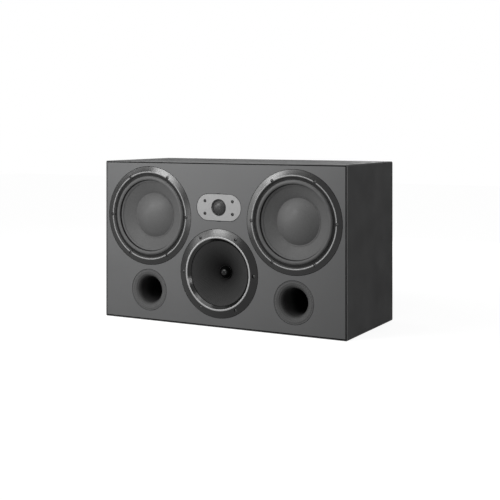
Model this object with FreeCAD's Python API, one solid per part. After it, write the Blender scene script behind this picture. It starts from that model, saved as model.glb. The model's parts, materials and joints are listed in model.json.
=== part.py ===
import FreeCAD, Part
import math
import os

# A three-way left-centre-right loudspeaker in a ported box. Millimetres.
# The origin is the centre of the underside, X is the width, the front faces -Y, Z is up.

# Cabinet panels
CABINET_WIDTH = 640.0
CABINET_HEIGHT = 380.0
CABINET_DEPTH = 275.0
PANEL_THICKNESS = 18.0
CABINET_CORNER_RADIUS = 3.5
CABINET_EDGE_RADIUS = 0.6
BAFFLE_THICKNESS = 25.0
BAFFLE_PROUD = 1.5
BAFFLE_EDGE_RADIUS = 1.0
LIP_WIDTH = 2.0
SHADOW_GAP = 2.0
SHADOW_GAP_DEPTH = 5.0
BACK_THICKNESS = 18.0
BACK_INSET = 6.0

# Window brace behind the drivers and the lining on the back panel
BRACE_THICKNESS = 15.0
BRACE_SETBACK = 14.0
BRACE_WINDOW_WIDTH = 170.0
BRACE_WINDOW_HEIGHT = 130.0
BRACE_CENTRE_WIDTH = 130.0
BRACE_CENTRE_HEIGHT = 230.0
BRACE_CORNER_RADIUS = 30.0
LINING_THICKNESS = 20.0
LINING_INNER_X = 62.0
LINING_MARGIN = 6.0

# Room left round the drivers and ports on the baffle
WOOFER_SIDE_MARGIN = 11.0
WOOFER_TOP_MARGIN = 12.5
WOOFER_PORT_GAP = 11.7
WOOFER_TWEETER_GAP = 16.5
MID_BOTTOM_MARGIN = 22.3
MID_TWEETER_GAP = 19.3
MID_WOOFER_GAP = 10.0
TWEETER_TOP_MARGIN = 73.0
PORT_BOTTOM_MARGIN = 24.6

# Clearances
RIM_GAP = 1.0
HOLE_GAP = 0.4
SOFT_GAP = 0.3
GLUE_GAP = 0.05
COIL_GAP = 0.5
SHANK_GAP = 0.05
SCREW_CLEARANCE = 0.3
HEAD_CLEARANCE = 0.5

# Driver screws and small screws, pan head with a hexagon socket
SCREW_COUNT = 6
SCREW_RADIUS = 1.9
SCREW_LENGTH = 18.0
SCREW_HEAD_RADIUS = 3.4
SCREW_HEAD_HEIGHT = 2.2
SCREW_CROWN_RADIUS = 1.7
SCREW_CROWN_HEIGHT = 1.1
SCREW_CROWN_BULGE = 0.35
SCREW_SOCKET = 1.4
SCREW_SOCKET_DEPTH = 1.2
SCREW_TIP = 3.0

# Trim rings and chassis flanges
RING_EDGE = 2.0
RING_NOSE = 0.3
FLANGE_THICKNESS = 3.0

# Woofers; the insets run inwards from the edge of the trim ring
WOOFER_BEVEL_WIDTH = 10.9
WOOFER_RIDGE_WIDTH = 3.6
WOOFER_RIDGE_HEIGHT = 2.6
WOOFER_RING_WIDTH = 17.0
WOOFER_SCREW_INSET = 11.8
WOOFER_FLANGE_WIDTH = 20.2
WOOFER_SEAT_INSET = 15.8
WOOFER_ROLL_INSET = 27.5
WOOFER_CONE_INSET = 31.5
WOOFER_ROLL_RADIUS = 4.4
SURROUND_THICKNESS = 1.2
SURROUND_BAND = 4.5
WOOFER_CONE_EDGE_DEPTH = 4.8
WOOFER_NECK_DEPTH = 44.0
CONE_WALL = 0.9
WOOFER_CAP_RADIUS = 53.0
WOOFER_CAP_HEIGHT = 15.0
CAP_FLANGE = 2.5
WOOFER_COIL_BORE = 19.0
WOOFER_COIL_HEIGHT = 18.0
WOOFER_COIL_TAIL = 10.0
WOOFER_SPIDER_DEPTH = 51.0
WOOFER_SPIDER_RADIUS = 61.0
WOOFER_SPIDER_WAVES = 5
WOOFER_SPIDER_WAVE_HEIGHT = 2.4
WOOFER_TOWER_BORE = 56.0
WOOFER_MOTOR_DEPTH = 74.0
WOOFER_PLATE_THICKNESS = 8.0
WOOFER_PLATE_RADIUS = 60.0
WOOFER_MAGNET_RADIUS = 66.0
WOOFER_MAGNET_BORE = 28.0
WOOFER_MAGNET_HEIGHT = 20.0
WOOFER_VENT_RADIUS = 6.0

# Midrange with no roll surround; the insets run inwards from the edge of the trim ring
MID_BEVEL_WIDTH = 16.2
MID_LIP_WIDTH = 4.4
MID_LIP_HEIGHT = 5.6
MID_FUNNEL_WIDTH = 6.2
MID_FUNNEL_DEPTH = 1.0
MID_SCREW_INSET = 9.0
MID_FLANGE_WIDTH = 18.2
MID_SEAT_INSET = 25.2
MID_CONE_GAP = 1.0
MID_CONE_EDGE_DEPTH = 2.4
MID_CONE_BELLY = 3.4
MID_NECK_DEPTH = 36.0
MID_EDGE_WIDTH = 4.6
MID_LEDGE_DEPTH = 9.0
MID_LEDGE_WIDTH = 8.0
MID_COIL_BORE = 15.2
MID_COIL_HEIGHT = 10.0
MID_COIL_TAIL = 6.0
MID_SPIDER_DEPTH = 40.0
MID_SPIDER_RADIUS = 45.0
MID_SPIDER_WAVES = 4
MID_SPIDER_WAVE_HEIGHT = 1.5
MID_TOWER_BORE = 41.0
MID_MOTOR_DEPTH = 47.0
MID_PLATE_THICKNESS = 6.0
MID_PLATE_RADIUS = 45.0
MID_MAGNET_RADIUS = 50.0
MID_MAGNET_BORE = 23.0
MID_MAGNET_HEIGHT = 16.0
MID_VENT_RADIUS = 3.0
MID_PLUG_TIP_DEPTH = 15.0
MID_PLUG_SHOULDER_DEPTH = 38.0
MID_PLUG_TIP_RADIUS = 2.2
MID_PLUG_TIP_HEIGHT = 0.9
MID_PLUG_TIP_BULGE = 0.28
MID_PLUG_BULGE = 3.75

# Shared by the cone drivers
FORMER_WALL = 0.25
COIL_WINDING = 0.65
FORMER_COLLAR = 4.0
SPIDER_WALL = 0.8
SPIDER_FLAT = 5.0
BASKET_WALL = 3.8
BASKET_RIM_DEPTH = 12.0
BASKET_FLOOR = 4.0
SPOKE_ANGLE = 17.0
REAR_RING_BORE = 32.0
MID_REAR_RING_BORE = 24.0

# Moulded chamber that keeps the woofers' air off the midrange
CHAMBER_FLANGE_INSET = 4.2
CHAMBER_FLANGE_THICKNESS = 4.0
CHAMBER_CLEARANCE = 6.0
CHAMBER_DRAFT = 16.0
CHAMBER_DEPTH = 112.0
CHAMBER_WALL = 3.0
CHAMBER_CORNER = 10.0

# Tweeter
TWEETER_WIDTH = 117.0
TWEETER_HEIGHT = 61.0
TWEETER_PLATE_THICKNESS = 4.0
TWEETER_PLATE_EDGE = 0.6
TWEETER_HOLE_RADIUS = 19.5
TWEETER_LEDGE_DEPTH = 5.5
TWEETER_LEDGE_RADIUS = 17.0
TWEETER_BOSS_RADIUS = 31.0
TWEETER_BOSS_DEPTH = 9.0
TWEETER_SCREW_X = 36.5
TWEETER_SCREW_Z = 14.5
TWEETER_SCREW_DEPTH = 0.4
GUARD_RISE = 7.2
GUARD_WALL = 0.6
GUARD_HOLE_RADIUS = 1.0
GUARD_HOLE_PITCH = 3.1
GUARD_HOLE_RINGS = 5
GUARD_HOLES_PER_RING = 6
DOME_RADIUS = 12.7
DOME_HEIGHT = 4.2
DOME_BASE_DEPTH = 8.0
DOME_WALL = 0.3
DOME_ROLL = 1.5
DOME_ROLL_RISE = 0.9
DOME_RIM = 0.9
TWEETER_COIL_HEIGHT = 4.0
TWEETER_COIL_WALL = 0.4
TWEETER_COIL_GAP = 0.3
TWEETER_TOP_PLATE = 4.0
TWEETER_MOTOR_RADIUS = 30.0
TWEETER_MAGNET_RADIUS = 32.0
TWEETER_MAGNET_BORE = 17.0
TWEETER_MAGNET_HEIGHT = 8.0
TWEETER_YOKE_PLATE = 5.0
TWEETER_VENT_RADIUS = 4.0
TWEETER_TUBE_RADIUS = 12.0
TWEETER_TUBE_END = 5.0
TWEETER_TUBE_LENGTH = 60.0
TWEETER_TUBE_WALL = 1.5

# Bass ports
PORT_FLANGE_RADIUS = 48.6
PORT_FLANGE_THICKNESS = 3.5
PORT_BORE = 30.5
PORT_FLARE = 14.0
PORT_WALL = 2.5
PORT_LENGTH = 150.0

# Terminal tray and binding posts on the back
TRAY_Z = 170.0
TRAY_WIDTH = 110.0
TRAY_HEIGHT = 90.0
TRAY_FLANGE = 3.0
TRAY_CUP_WIDTH = 84.0
TRAY_CUP_HEIGHT = 64.0
TRAY_CUP_DEPTH = 28.0
TRAY_CUP_DRAFT = 3.0
TRAY_WALL = 2.5
TRAY_CORNER = 10.0
TRAY_SCREW_INSET = 7.5
POST_PITCH = 30.0
POST_RADIUS = 3.9
POST_COLLAR_RADIUS = 7.0
POST_COLLAR_HEIGHT = 3.0
POST_LENGTH = 25.0
POST_TAIL = 13.0
POST_SOCKET_RADIUS = 2.0
POST_SOCKET_DEPTH = 19.0
POST_NUT_WIDTH = 12.0
POST_NUT_HEIGHT = 5.0
CAP_RADIUS = 8.6
CAP_LENGTH = 20.0
CAP_THREAD_GAP = 0.08
CAP_LIFT = 1.2
CAP_FLUTES = 12
CAP_FLUTE_RADIUS = 1.5
CAP_CHAMFER = 1.0

# Crossover on the inner face of the base panel
BOARD_LENGTH = 250.0
BOARD_WIDTH = 56.0
BOARD_THICKNESS = 4.0
BOARD_SCREW_INSET = 6.0
BOARD_END_MARGIN = 14.0
INDUCTOR_RADIUS = 22.0
INDUCTOR_BORE = 11.0
INDUCTOR_HEIGHT = 18.0
INDUCTOR_COUNT = 2
INDUCTOR_GAP = 2.0
CAPACITOR_RADIUS = 9.5
CAPACITOR_LENGTH = 42.0
CAPACITOR_COUNT = 3
CAPACITOR_GAP = 4.0
CAPACITOR_EDGE = 1.5
RESISTOR_LENGTH = 40.0
RESISTOR_SIDE = 9.0
RESISTOR_COUNT = 2
RESISTOR_GAP = 11.0

# Planes and places worked out from the sizes above
WRAP_FRONT_Y = -CABINET_DEPTH / 2
WRAP_BACK_Y = CABINET_DEPTH / 2
FACE_Y = WRAP_FRONT_Y - BAFFLE_PROUD
BAFFLE_BACK_Y = FACE_Y + BAFFLE_THICKNESS
BACK_FACE_Y = WRAP_BACK_Y - BACK_INSET
BACK_INNER_Y = BACK_FACE_Y - BACK_THICKNESS
INNER_HALF_WIDTH = CABINET_WIDTH / 2 - PANEL_THICKNESS
INNER_TOP = CABINET_HEIGHT - PANEL_THICKNESS
REBATE = RING_EDGE + FLANGE_THICKNESS
PORT_Z = PORT_BOTTOM_MARGIN + PORT_FLANGE_RADIUS
TWEETER_Z = CABINET_HEIGHT - TWEETER_TOP_MARGIN - TWEETER_HEIGHT / 2

# A woofer's ring is as large as the room above its port and beside the tweeter allows
WOOFER_HEIGHT_ROOM = CABINET_HEIGHT - WOOFER_TOP_MARGIN - WOOFER_PORT_GAP - PORT_Z - PORT_FLANGE_RADIUS
WOOFER_WIDTH_ROOM = CABINET_WIDTH / 2 - WOOFER_SIDE_MARGIN - WOOFER_TWEETER_GAP - TWEETER_WIDTH / 2
WOOFER_RING_RADIUS = min(WOOFER_HEIGHT_ROOM, WOOFER_WIDTH_ROOM) / 2
WOOFER_RIDGE_RADIUS = WOOFER_RING_RADIUS - WOOFER_BEVEL_WIDTH - WOOFER_RIDGE_WIDTH / 2
WOOFER_RING_BORE = WOOFER_RING_RADIUS - WOOFER_RING_WIDTH
WOOFER_SCREW_CIRCLE = WOOFER_RING_RADIUS - WOOFER_SCREW_INSET
WOOFER_BASKET_RADIUS = WOOFER_RING_RADIUS - WOOFER_FLANGE_WIDTH
WOOFER_SEAT_RADIUS = WOOFER_RING_RADIUS - WOOFER_SEAT_INSET
WOOFER_ROLL_CENTRE = WOOFER_RING_RADIUS - WOOFER_ROLL_INSET
WOOFER_CONE_RADIUS = WOOFER_RING_RADIUS - WOOFER_CONE_INSET
WOOFER_X = CABINET_WIDTH / 2 - WOOFER_SIDE_MARGIN - WOOFER_RING_RADIUS
WOOFER_Z = CABINET_HEIGHT - WOOFER_TOP_MARGIN - WOOFER_RING_RADIUS
PORT_X = WOOFER_X


def radius_between_woofers():
    """Radius of the ring that stands on the bottom margin and clears both woofers by the gap.

    Its centre lies that radius above the margin, so the distance between centres gives one
    linear equation for the radius.
    """
    reach = WOOFER_RING_RADIUS + MID_WOOFER_GAP
    rise = WOOFER_Z - MID_BOTTOM_MARGIN
    return (WOOFER_X ** 2 + rise ** 2 - reach ** 2) / (2 * (reach + rise))


# The midrange's ring is as large as the room below the tweeter and between the woofers allows
MID_HEIGHT_ROOM = TWEETER_Z - TWEETER_HEIGHT / 2 - MID_TWEETER_GAP - MID_BOTTOM_MARGIN
MID_RING_RADIUS = min(MID_HEIGHT_ROOM / 2, radius_between_woofers())
MID_LIP_OUTER = MID_RING_RADIUS - MID_BEVEL_WIDTH
MID_LIP_INNER = MID_LIP_OUTER - MID_LIP_WIDTH
MID_RING_BORE = MID_LIP_INNER - MID_FUNNEL_WIDTH
MID_SCREW_CIRCLE = MID_RING_RADIUS - MID_SCREW_INSET
MID_BASKET_RADIUS = MID_RING_RADIUS - MID_FLANGE_WIDTH
MID_SEAT_RADIUS = MID_RING_RADIUS - MID_SEAT_INSET
MID_LEDGE_RADIUS = MID_SEAT_RADIUS - MID_LEDGE_WIDTH
MID_CONE_RADIUS = MID_RING_BORE - MID_CONE_GAP
MID_Z = MID_BOTTOM_MARGIN + MID_RING_RADIUS
CHAMBER_FLANGE_RADIUS = MID_RING_RADIUS - CHAMBER_FLANGE_INSET
CHAMBER_MOUTH_RADIUS = MID_BASKET_RADIUS + CHAMBER_CLEARANCE
CHAMBER_END_RADIUS = CHAMBER_MOUTH_RADIUS - CHAMBER_DRAFT

# Depths behind the baffle
WOOFER_YOKE_BACK = WOOFER_MOTOR_DEPTH + 2 * WOOFER_PLATE_THICKNESS + WOOFER_MAGNET_HEIGHT
BRACE_FRONT_Y = FACE_Y + WOOFER_YOKE_BACK + BRACE_SETBACK
BRACE_BACK_Y = BRACE_FRONT_Y + BRACE_THICKNESS
LINING_FRONT_Y = BACK_INNER_Y - LINING_THICKNESS
BOARD_Y = (BRACE_BACK_Y + LINING_FRONT_Y) / 2
BOARD_TOP = PANEL_THICKNESS + BOARD_THICKNESS
PORT_OUTER = PORT_BORE + PORT_WALL
SIDES = (("left", -1), ("right", 1))
SAME_POINT = 1e-6
SAME_DEPTH = 1e-4
EDGE_SAMPLES = 5
HEX_CORNER_COUNT = 6
QUARTER_ARC_SAG = 1 - math.sqrt(0.5)
FULL_TURN = 360.0
QUARTER_TURN = FULL_TURN / 4
SCREW_STEP = FULL_TURN / SCREW_COUNT
WIDTH_AXIS = FreeCAD.Vector(1, 0, 0)
DEPTH_AXIS = FreeCAD.Vector(0, 1, 0)
UP_AXIS = FreeCAD.Vector(0, 0, 1)
ORIGIN = FreeCAD.Vector(0, 0, 0)


def vec(x, y, z):
    return FreeCAD.Vector(x, y, z)


def revolved(points):
    """Turn an outline of (radius, depth) points about the depth axis.

    A four-number entry is an arc: its middle point, then its end. A repeated point is passed over.
    """
    edges = []
    start = points[0]
    for step in list(points[1:]) + [points[0]]:
        end = step[-2:]
        first = vec(start[0], start[1], 0)
        last = vec(end[0], end[1], 0)
        if len(step) == 4:
            edges.append(Part.Arc(first, vec(step[0], step[1], 0), last).toShape())
        elif not first.isEqual(last, SAME_POINT):
            edges.append(Part.makeLine(first, last))
        start = end
    face = Part.Face(Part.Wire(edges))
    return face.revolve(ORIGIN, DEPTH_AXIS, FULL_TURN)


def ring(inner, outer, front, back):
    """A flat ring, or a disc when its inner radius is zero."""
    return revolved([(inner, front), (outer, front), (outer, back), (inner, back)])


def rod(radius, front, back, x=0.0, z=0.0):
    """A cylinder along the depth axis."""
    return Part.makeCylinder(radius, back - front, vec(x, front, z), DEPTH_AXIS)


def bulged(start, end, bulge):
    """An arc entry from start to end whose middle stands off the chord, outwards and forwards."""
    across = end[0] - start[0]
    along = end[1] - start[1]
    chord = math.hypot(across, along)
    return ((start[0] + end[0]) / 2 + bulge * along / chord,
            (start[1] + end[1]) / 2 - bulge * across / chord) + end


def dome_sphere(radius, rise):
    """Radius of the sphere whose cap has this radius and rise."""
    return (radius ** 2 + rise ** 2) / (2 * rise)


def dome_drop(sphere, radius):
    """How far a dome falls from its top at a radius."""
    return sphere - math.sqrt(sphere ** 2 - radius ** 2)


def box_between(low, high):
    size = high.sub(low)
    return Part.makeBox(size.x, size.y, size.z, low)


def placed(shape, x, z):
    """Move a piece made on the depth axis to its place on the baffle."""
    return shape.translated(vec(x, FACE_Y, z))


def circle_places(radius, count=SCREW_COUNT):
    """Evenly spaced places on a circle round the depth axis."""
    for index in range(count):
        angle = math.radians(index * FULL_TURN / count)
        yield radius * math.cos(angle), radius * math.sin(angle)


def cut_all(shape, tools):
    return shape.cut(Part.makeCompound(tools)) if tools else shape


def rounded_rectangle(width, height, radius, y, x=0.0, z=0.0):
    """A closed wire of four sides and four quarter arcs in a plane of constant depth."""
    across = width / 2 - radius
    up = height / 2 - radius
    edges = []
    corners = ((across, up), (-across, up), (-across, -up), (across, -up))
    arcs = []
    for index, (cx, cz) in enumerate(corners):
        begin = math.radians(index * QUARTER_TURN)
        finish = begin + math.radians(QUARTER_TURN)
        middle = (begin + finish) / 2
        arcs.append([vec(x + cx + radius * math.cos(a), y, z + cz + radius * math.sin(a))
                     for a in (begin, middle, finish)])
    for index, (begin, middle, finish) in enumerate(arcs):
        edges.append(Part.Arc(begin, middle, finish).toShape())
        following = arcs[(index + 1) % len(arcs)][0]
        if not finish.isEqual(following, SAME_POINT):
            edges.append(Part.makeLine(finish, following))
    return Part.Wire(edges)


def slab(width, height, radius, front, back, x=0.0, z=0.0):
    """A rounded rectangular plate between two depths."""
    face = Part.Face(rounded_rectangle(width, height, radius, front, x, z))
    return face.extrude(vec(0, back - front, 0))


def edges_at_depth(shape, depth):
    """Edges that lie wholly in one plane of constant depth."""
    return [edge for edge in shape.Edges
            if all(abs(point.y - depth) < SAME_DEPTH for point in edge.discretize(EDGE_SAMPLES))]


# Cabinet

def cabinet_wrap():
    """The four outer walls as one hollow box, rebated at the front for the baffle."""
    half = CABINET_WIDTH / 2
    outer = slab(CABINET_WIDTH, CABINET_HEIGHT, CABINET_CORNER_RADIUS, WRAP_FRONT_Y, WRAP_BACK_Y,
                 0, CABINET_HEIGHT / 2)
    rims = edges_at_depth(outer, WRAP_FRONT_Y) + edges_at_depth(outer, WRAP_BACK_Y)
    outer = outer.makeFillet(CABINET_EDGE_RADIUS, rims)
    inside = box_between(vec(-INNER_HALF_WIDTH, WRAP_FRONT_Y, PANEL_THICKNESS),
                         vec(INNER_HALF_WIDTH, WRAP_BACK_Y, INNER_TOP))
    rebate = box_between(vec(-half + LIP_WIDTH, WRAP_FRONT_Y, LIP_WIDTH),
                         vec(half - LIP_WIDTH, BAFFLE_BACK_Y, CABINET_HEIGHT - LIP_WIDTH))
    return outer.cut(inside).cut(rebate)


def mitred_wall(wrap, corners):
    """The part of the wrap inside a four-cornered prism: one wall with its mitred ends."""
    points = [vec(x, WRAP_FRONT_Y, z) for x, z in corners]
    face = Part.Face(Part.makePolygon(points + points[:1]))
    prism = face.extrude(vec(0, CABINET_DEPTH, 0))
    return wrap.common(prism)


def cabinet_walls():
    wrap = cabinet_wrap()
    half = CABINET_WIDTH / 2
    outer = {"left": -half, "right": half}
    inner = {"left": -INNER_HALF_WIDTH, "right": INNER_HALF_WIDTH}
    walls = {}
    for name, edge_z, inner_z in (("base_panel", 0, PANEL_THICKNESS),
                                  ("top_panel", CABINET_HEIGHT, INNER_TOP)):
        walls[name] = mitred_wall(wrap, [(outer["left"], edge_z), (outer["right"], edge_z),
                                         (inner["right"], inner_z), (inner["left"], inner_z)])
    for side, _ in SIDES:
        walls[side + "_side_panel"] = mitred_wall(
            wrap, [(outer[side], 0), (outer[side], CABINET_HEIGHT),
                   (inner[side], INNER_TOP), (inner[side], PANEL_THICKNESS)])
    return walls


def round_rebate(x, z, rim, hole, depth, screw_circle):
    """What a round driver takes out of the baffle: rebate, through hole and screw pilots."""
    tools = [rod(rim, 0, depth), rod(hole, 0, BAFFLE_THICKNESS)]
    cutter = tools[0].fuse(tools[1])
    pilots = [rod(SCREW_RADIUS + SHANK_GAP, depth, BAFFLE_THICKNESS, px, pz)
              for px, pz in circle_places(screw_circle)]
    return placed(cutter.fuse(pilots), x, z)


def tweeter_rebate():
    plate = slab(TWEETER_WIDTH + 2 * RIM_GAP, TWEETER_HEIGHT + 2 * RIM_GAP,
                 TWEETER_HEIGHT / 2 + RIM_GAP, 0, TWEETER_PLATE_THICKNESS)
    hole = rod(TWEETER_MAGNET_RADIUS + HOLE_GAP, 0, BAFFLE_THICKNESS)
    pilots = [rod(SCREW_RADIUS + SHANK_GAP, TWEETER_PLATE_THICKNESS, BAFFLE_THICKNESS, x, z)
              for x, z in tweeter_screw_places()]
    return placed(plate.fuse([hole] + pilots), 0, TWEETER_Z)


def port_rebate(x):
    flange = rod(PORT_FLANGE_RADIUS + RIM_GAP, 0, PORT_FLANGE_THICKNESS)
    flare = rod(flare_back_radius() + HOLE_GAP, 0, PORT_FLARE + HOLE_GAP)
    tube = rod(PORT_OUTER + HOLE_GAP, 0, BAFFLE_THICKNESS)
    return placed(flange.fuse([flare, tube]), x, PORT_Z)


def front_baffle():
    """A stepped board: its back fills the rebate, its front stands inside the shadow gap."""
    half = CABINET_WIDTH / 2 - LIP_WIDTH
    top = CABINET_HEIGHT - LIP_WIDTH
    step_y = WRAP_FRONT_Y + SHADOW_GAP_DEPTH
    rear = box_between(vec(-half, step_y, LIP_WIDTH), vec(half, BAFFLE_BACK_Y, top))
    face = box_between(vec(-half + SHADOW_GAP, FACE_Y, LIP_WIDTH + SHADOW_GAP),
                       vec(half - SHADOW_GAP, step_y, top - SHADOW_GAP))
    face = face.makeFillet(BAFFLE_EDGE_RADIUS, edges_at_depth(face, FACE_Y))
    board = rear.fuse(face).removeSplitter()
    cutters = [tweeter_rebate(),
               round_rebate(0, MID_Z, MID_RING_RADIUS + RIM_GAP, MID_BASKET_RADIUS + HOLE_GAP,
                            REBATE, MID_SCREW_CIRCLE)]
    for _, sign in SIDES:
        cutters.append(round_rebate(sign * WOOFER_X, WOOFER_Z, WOOFER_RING_RADIUS + RIM_GAP,
                                    WOOFER_BASKET_RADIUS + HOLE_GAP, REBATE, WOOFER_SCREW_CIRCLE))
        cutters.append(port_rebate(sign * PORT_X))
    return cut_all(board, cutters)


def back_panel():
    board = box_between(vec(-INNER_HALF_WIDTH, BACK_INNER_Y, PANEL_THICKNESS),
                        vec(INNER_HALF_WIDTH, BACK_FACE_Y, INNER_TOP))
    wall = 2 * (TRAY_WALL + HOLE_GAP)
    opening = slab(TRAY_CUP_WIDTH + wall, TRAY_CUP_HEIGHT + wall, TRAY_CORNER + TRAY_WALL,
                   BACK_INNER_Y, BACK_FACE_Y, 0, TRAY_Z)
    pilots = [rod(SCREW_RADIUS + SHANK_GAP, BACK_INNER_Y, BACK_FACE_Y, x, z)
              for x, z in tray_screw_places()]
    return cut_all(board, [opening] + pilots)


def window_brace():
    """A board across the box with windows behind the drivers; the port tubes pass through it."""
    board = box_between(vec(-INNER_HALF_WIDTH, BRACE_FRONT_Y, PANEL_THICKNESS),
                        vec(INNER_HALF_WIDTH, BRACE_BACK_Y, INNER_TOP))
    middle = CABINET_HEIGHT / 2
    tools = [slab(BRACE_CENTRE_WIDTH, BRACE_CENTRE_HEIGHT, BRACE_CORNER_RADIUS,
                  BRACE_FRONT_Y, BRACE_BACK_Y, 0, middle)]
    for _, sign in SIDES:
        tools.append(slab(BRACE_WINDOW_WIDTH, BRACE_WINDOW_HEIGHT, BRACE_CORNER_RADIUS,
                          BRACE_FRONT_Y, BRACE_BACK_Y, sign * WOOFER_X, WOOFER_Z))
        tools.append(rod(PORT_OUTER + HOLE_GAP, BRACE_FRONT_Y, BRACE_BACK_Y, sign * PORT_X, PORT_Z))
    return cut_all(board, tools)


def foam_lining():
    """Two soft sheets against the back panel, left and right of the terminal tray."""
    low = PANEL_THICKNESS + LINING_MARGIN
    high = INNER_TOP - LINING_MARGIN
    far = INNER_HALF_WIDTH - LINING_MARGIN
    back = BACK_INNER_Y - SOFT_GAP
    sheets = []
    for _, sign in SIDES:
        ends = sorted((sign * LINING_INNER_X, sign * far))
        sheets.append(box_between(vec(ends[0], LINING_FRONT_Y, low), vec(ends[1], back, high)))
    return Part.makeCompound(sheets)


def midrange_chamber():
    """A closed moulded cup with a flange against the back of the baffle."""
    mouth = BAFFLE_THICKNESS
    flange_back = mouth + CHAMBER_FLANGE_THICKNESS
    inner_mouth = CHAMBER_MOUTH_RADIUS - CHAMBER_WALL
    inner_end = CHAMBER_END_RADIUS - CHAMBER_WALL
    floor = CHAMBER_DEPTH - CHAMBER_WALL
    bend = CHAMBER_CORNER * QUARTER_ARC_SAG
    inner_corner = CHAMBER_CORNER - CHAMBER_WALL
    inner_bend = inner_corner * QUARTER_ARC_SAG
    cup = revolved([
        (inner_mouth, mouth), (CHAMBER_FLANGE_RADIUS, mouth), (CHAMBER_FLANGE_RADIUS, flange_back),
        (CHAMBER_MOUTH_RADIUS, flange_back), (CHAMBER_END_RADIUS, CHAMBER_DEPTH - CHAMBER_CORNER),
        (CHAMBER_END_RADIUS - bend, CHAMBER_DEPTH - bend,
         CHAMBER_END_RADIUS - CHAMBER_CORNER, CHAMBER_DEPTH),
        (0, CHAMBER_DEPTH), (0, floor), (inner_end - inner_corner, floor),
        (inner_end - inner_bend, floor - inner_bend, inner_end, floor - inner_corner)])
    return placed(cup, 0, MID_Z)


# Screws

def socket_screw(seat, length):
    """A pan-head wood screw along the depth axis, its head resting at the seat depth."""
    top = seat - SCREW_HEAD_HEIGHT
    crown = (SCREW_CROWN_RADIUS, top)
    shoulder = (SCREW_HEAD_RADIUS, top + SCREW_CROWN_HEIGHT)
    end = seat + length
    body = revolved([(0, top), crown, bulged(crown, shoulder, SCREW_CROWN_BULGE),
                     (SCREW_HEAD_RADIUS, seat), (SCREW_RADIUS, seat),
                     (SCREW_RADIUS, end - SCREW_TIP), (0, end)])
    corners = [vec(x, top, z) for x, z in circle_places(SCREW_SOCKET, HEX_CORNER_COUNT)]
    socket = Part.Face(Part.makePolygon(corners + corners[:1]))
    return body.cut(socket.extrude(vec(0, SCREW_SOCKET_DEPTH, 0)))


def woofer_screw_seat():
    return SCREW_HEAD_HEIGHT + HEAD_CLEARANCE - WOOFER_RIDGE_HEIGHT


def mid_screw_seat():
    return SCREW_HEAD_HEIGHT + mid_bevel_depth(MID_SCREW_CIRCLE)


def driver_screws():
    screws = []
    for _, sign in SIDES:
        screw = socket_screw(woofer_screw_seat(), SCREW_LENGTH)
        for x, z in circle_places(WOOFER_SCREW_CIRCLE):
            screws.append(placed(screw, sign * WOOFER_X + x, WOOFER_Z + z))
    screw = socket_screw(mid_screw_seat(), SCREW_LENGTH)
    for x, z in circle_places(MID_SCREW_CIRCLE):
        screws.append(placed(screw, x, MID_Z + z))
    return Part.makeCompound(screws)


def screw_holes(circle, seat, back):
    """Counterbores for the heads from the seat forwards, and clearance holes behind."""
    tools = []
    for x, z in circle_places(circle):
        head = rod(SCREW_HEAD_RADIUS + HEAD_CLEARANCE, seat - SCREW_LENGTH, seat, x, z)
        shank = rod(SCREW_RADIUS + SCREW_CLEARANCE, seat - SCREW_LENGTH, back, x, z)
        tools.append(head.fuse(shank))
    return tools


# Pieces shared by the cone drivers

def chassis(flange_radius, seat_radius, seat_depth, basket_radius, ledge, tower, floor_depth,
            rear_bore, screw_circle):
    """A cast basket: flange, rim, six spokes with windows between, spider tower and rear ring.

    ledge is the (radius, depth) of the inner rim's lower edge, tower is the bore, the outer
    radius and the depth of the spider's seat.
    """
    tower_bore, tower_radius, tower_depth = tower
    ledge_radius, ledge_depth = ledge
    rim_depth = REBATE + BASKET_RIM_DEPTH
    shell = revolved([
        (seat_radius, RING_EDGE), (flange_radius, RING_EDGE), (flange_radius, REBATE),
        (basket_radius, REBATE), (basket_radius, rim_depth),
        (tower_radius + BASKET_WALL, tower_depth + BASKET_WALL),
        (tower_radius, floor_depth), (rear_bore, floor_depth),
        (rear_bore, floor_depth - BASKET_FLOOR), (tower_bore, floor_depth - BASKET_FLOOR),
        (tower_bore, tower_depth), (tower_radius, tower_depth),
        (basket_radius - BASKET_WALL, rim_depth - BASKET_WALL),
        (basket_radius - BASKET_WALL, ledge_depth + BASKET_WALL),
        (ledge_radius, ledge_depth + BASKET_WALL), (ledge_radius, seat_depth),
        (seat_radius, seat_depth)])
    window = Part.Face(Part.makePolygon([
        vec(tower_radius, rim_depth, 0), vec(basket_radius + BASKET_WALL, rim_depth, 0),
        vec(basket_radius + BASKET_WALL, tower_depth, 0), vec(tower_radius, tower_depth, 0),
        vec(tower_radius, rim_depth, 0)]))
    sector = window.revolve(ORIGIN, DEPTH_AXIS, SCREW_STEP - SPOKE_ANGLE)
    windows = []
    for index in range(SCREW_COUNT):
        turned = sector.copy()
        turned.rotate(ORIGIN, DEPTH_AXIS, index * SCREW_STEP + SPOKE_ANGLE / 2)
        windows.append(turned)
    holes = [rod(SCREW_RADIUS + SCREW_CLEARANCE, RING_EDGE, REBATE, x, z)
             for x, z in circle_places(screw_circle)]
    return cut_all(cut_all(shell, windows), holes)


def spider(bore, radius, depth, waves, wave_height):
    """A corrugated cloth disc: flat at both edges, waves between."""
    first = bore + SPIDER_FLAT
    last = radius - SPIDER_FLAT
    half_wave = (last - first) / (2 * waves)
    crests = []
    for index in range(2 * waves):
        direction = -1 if index % 2 else 1
        begin = first + index * half_wave
        crests.append((begin + half_wave / 2, direction * wave_height / 2, begin + half_wave))
    front = depth - SPIDER_WALL
    points = [(bore, depth), (first, depth)]
    points += [(crest, depth + rise, end, depth) for crest, rise, end in crests]
    points += [(radius, depth), (radius, front), (last, front)]
    points += [(crest, front + rise, end - half_wave, front) for crest, rise, end in reversed(crests)]
    points += [(bore, front)]
    return revolved(points)


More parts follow.
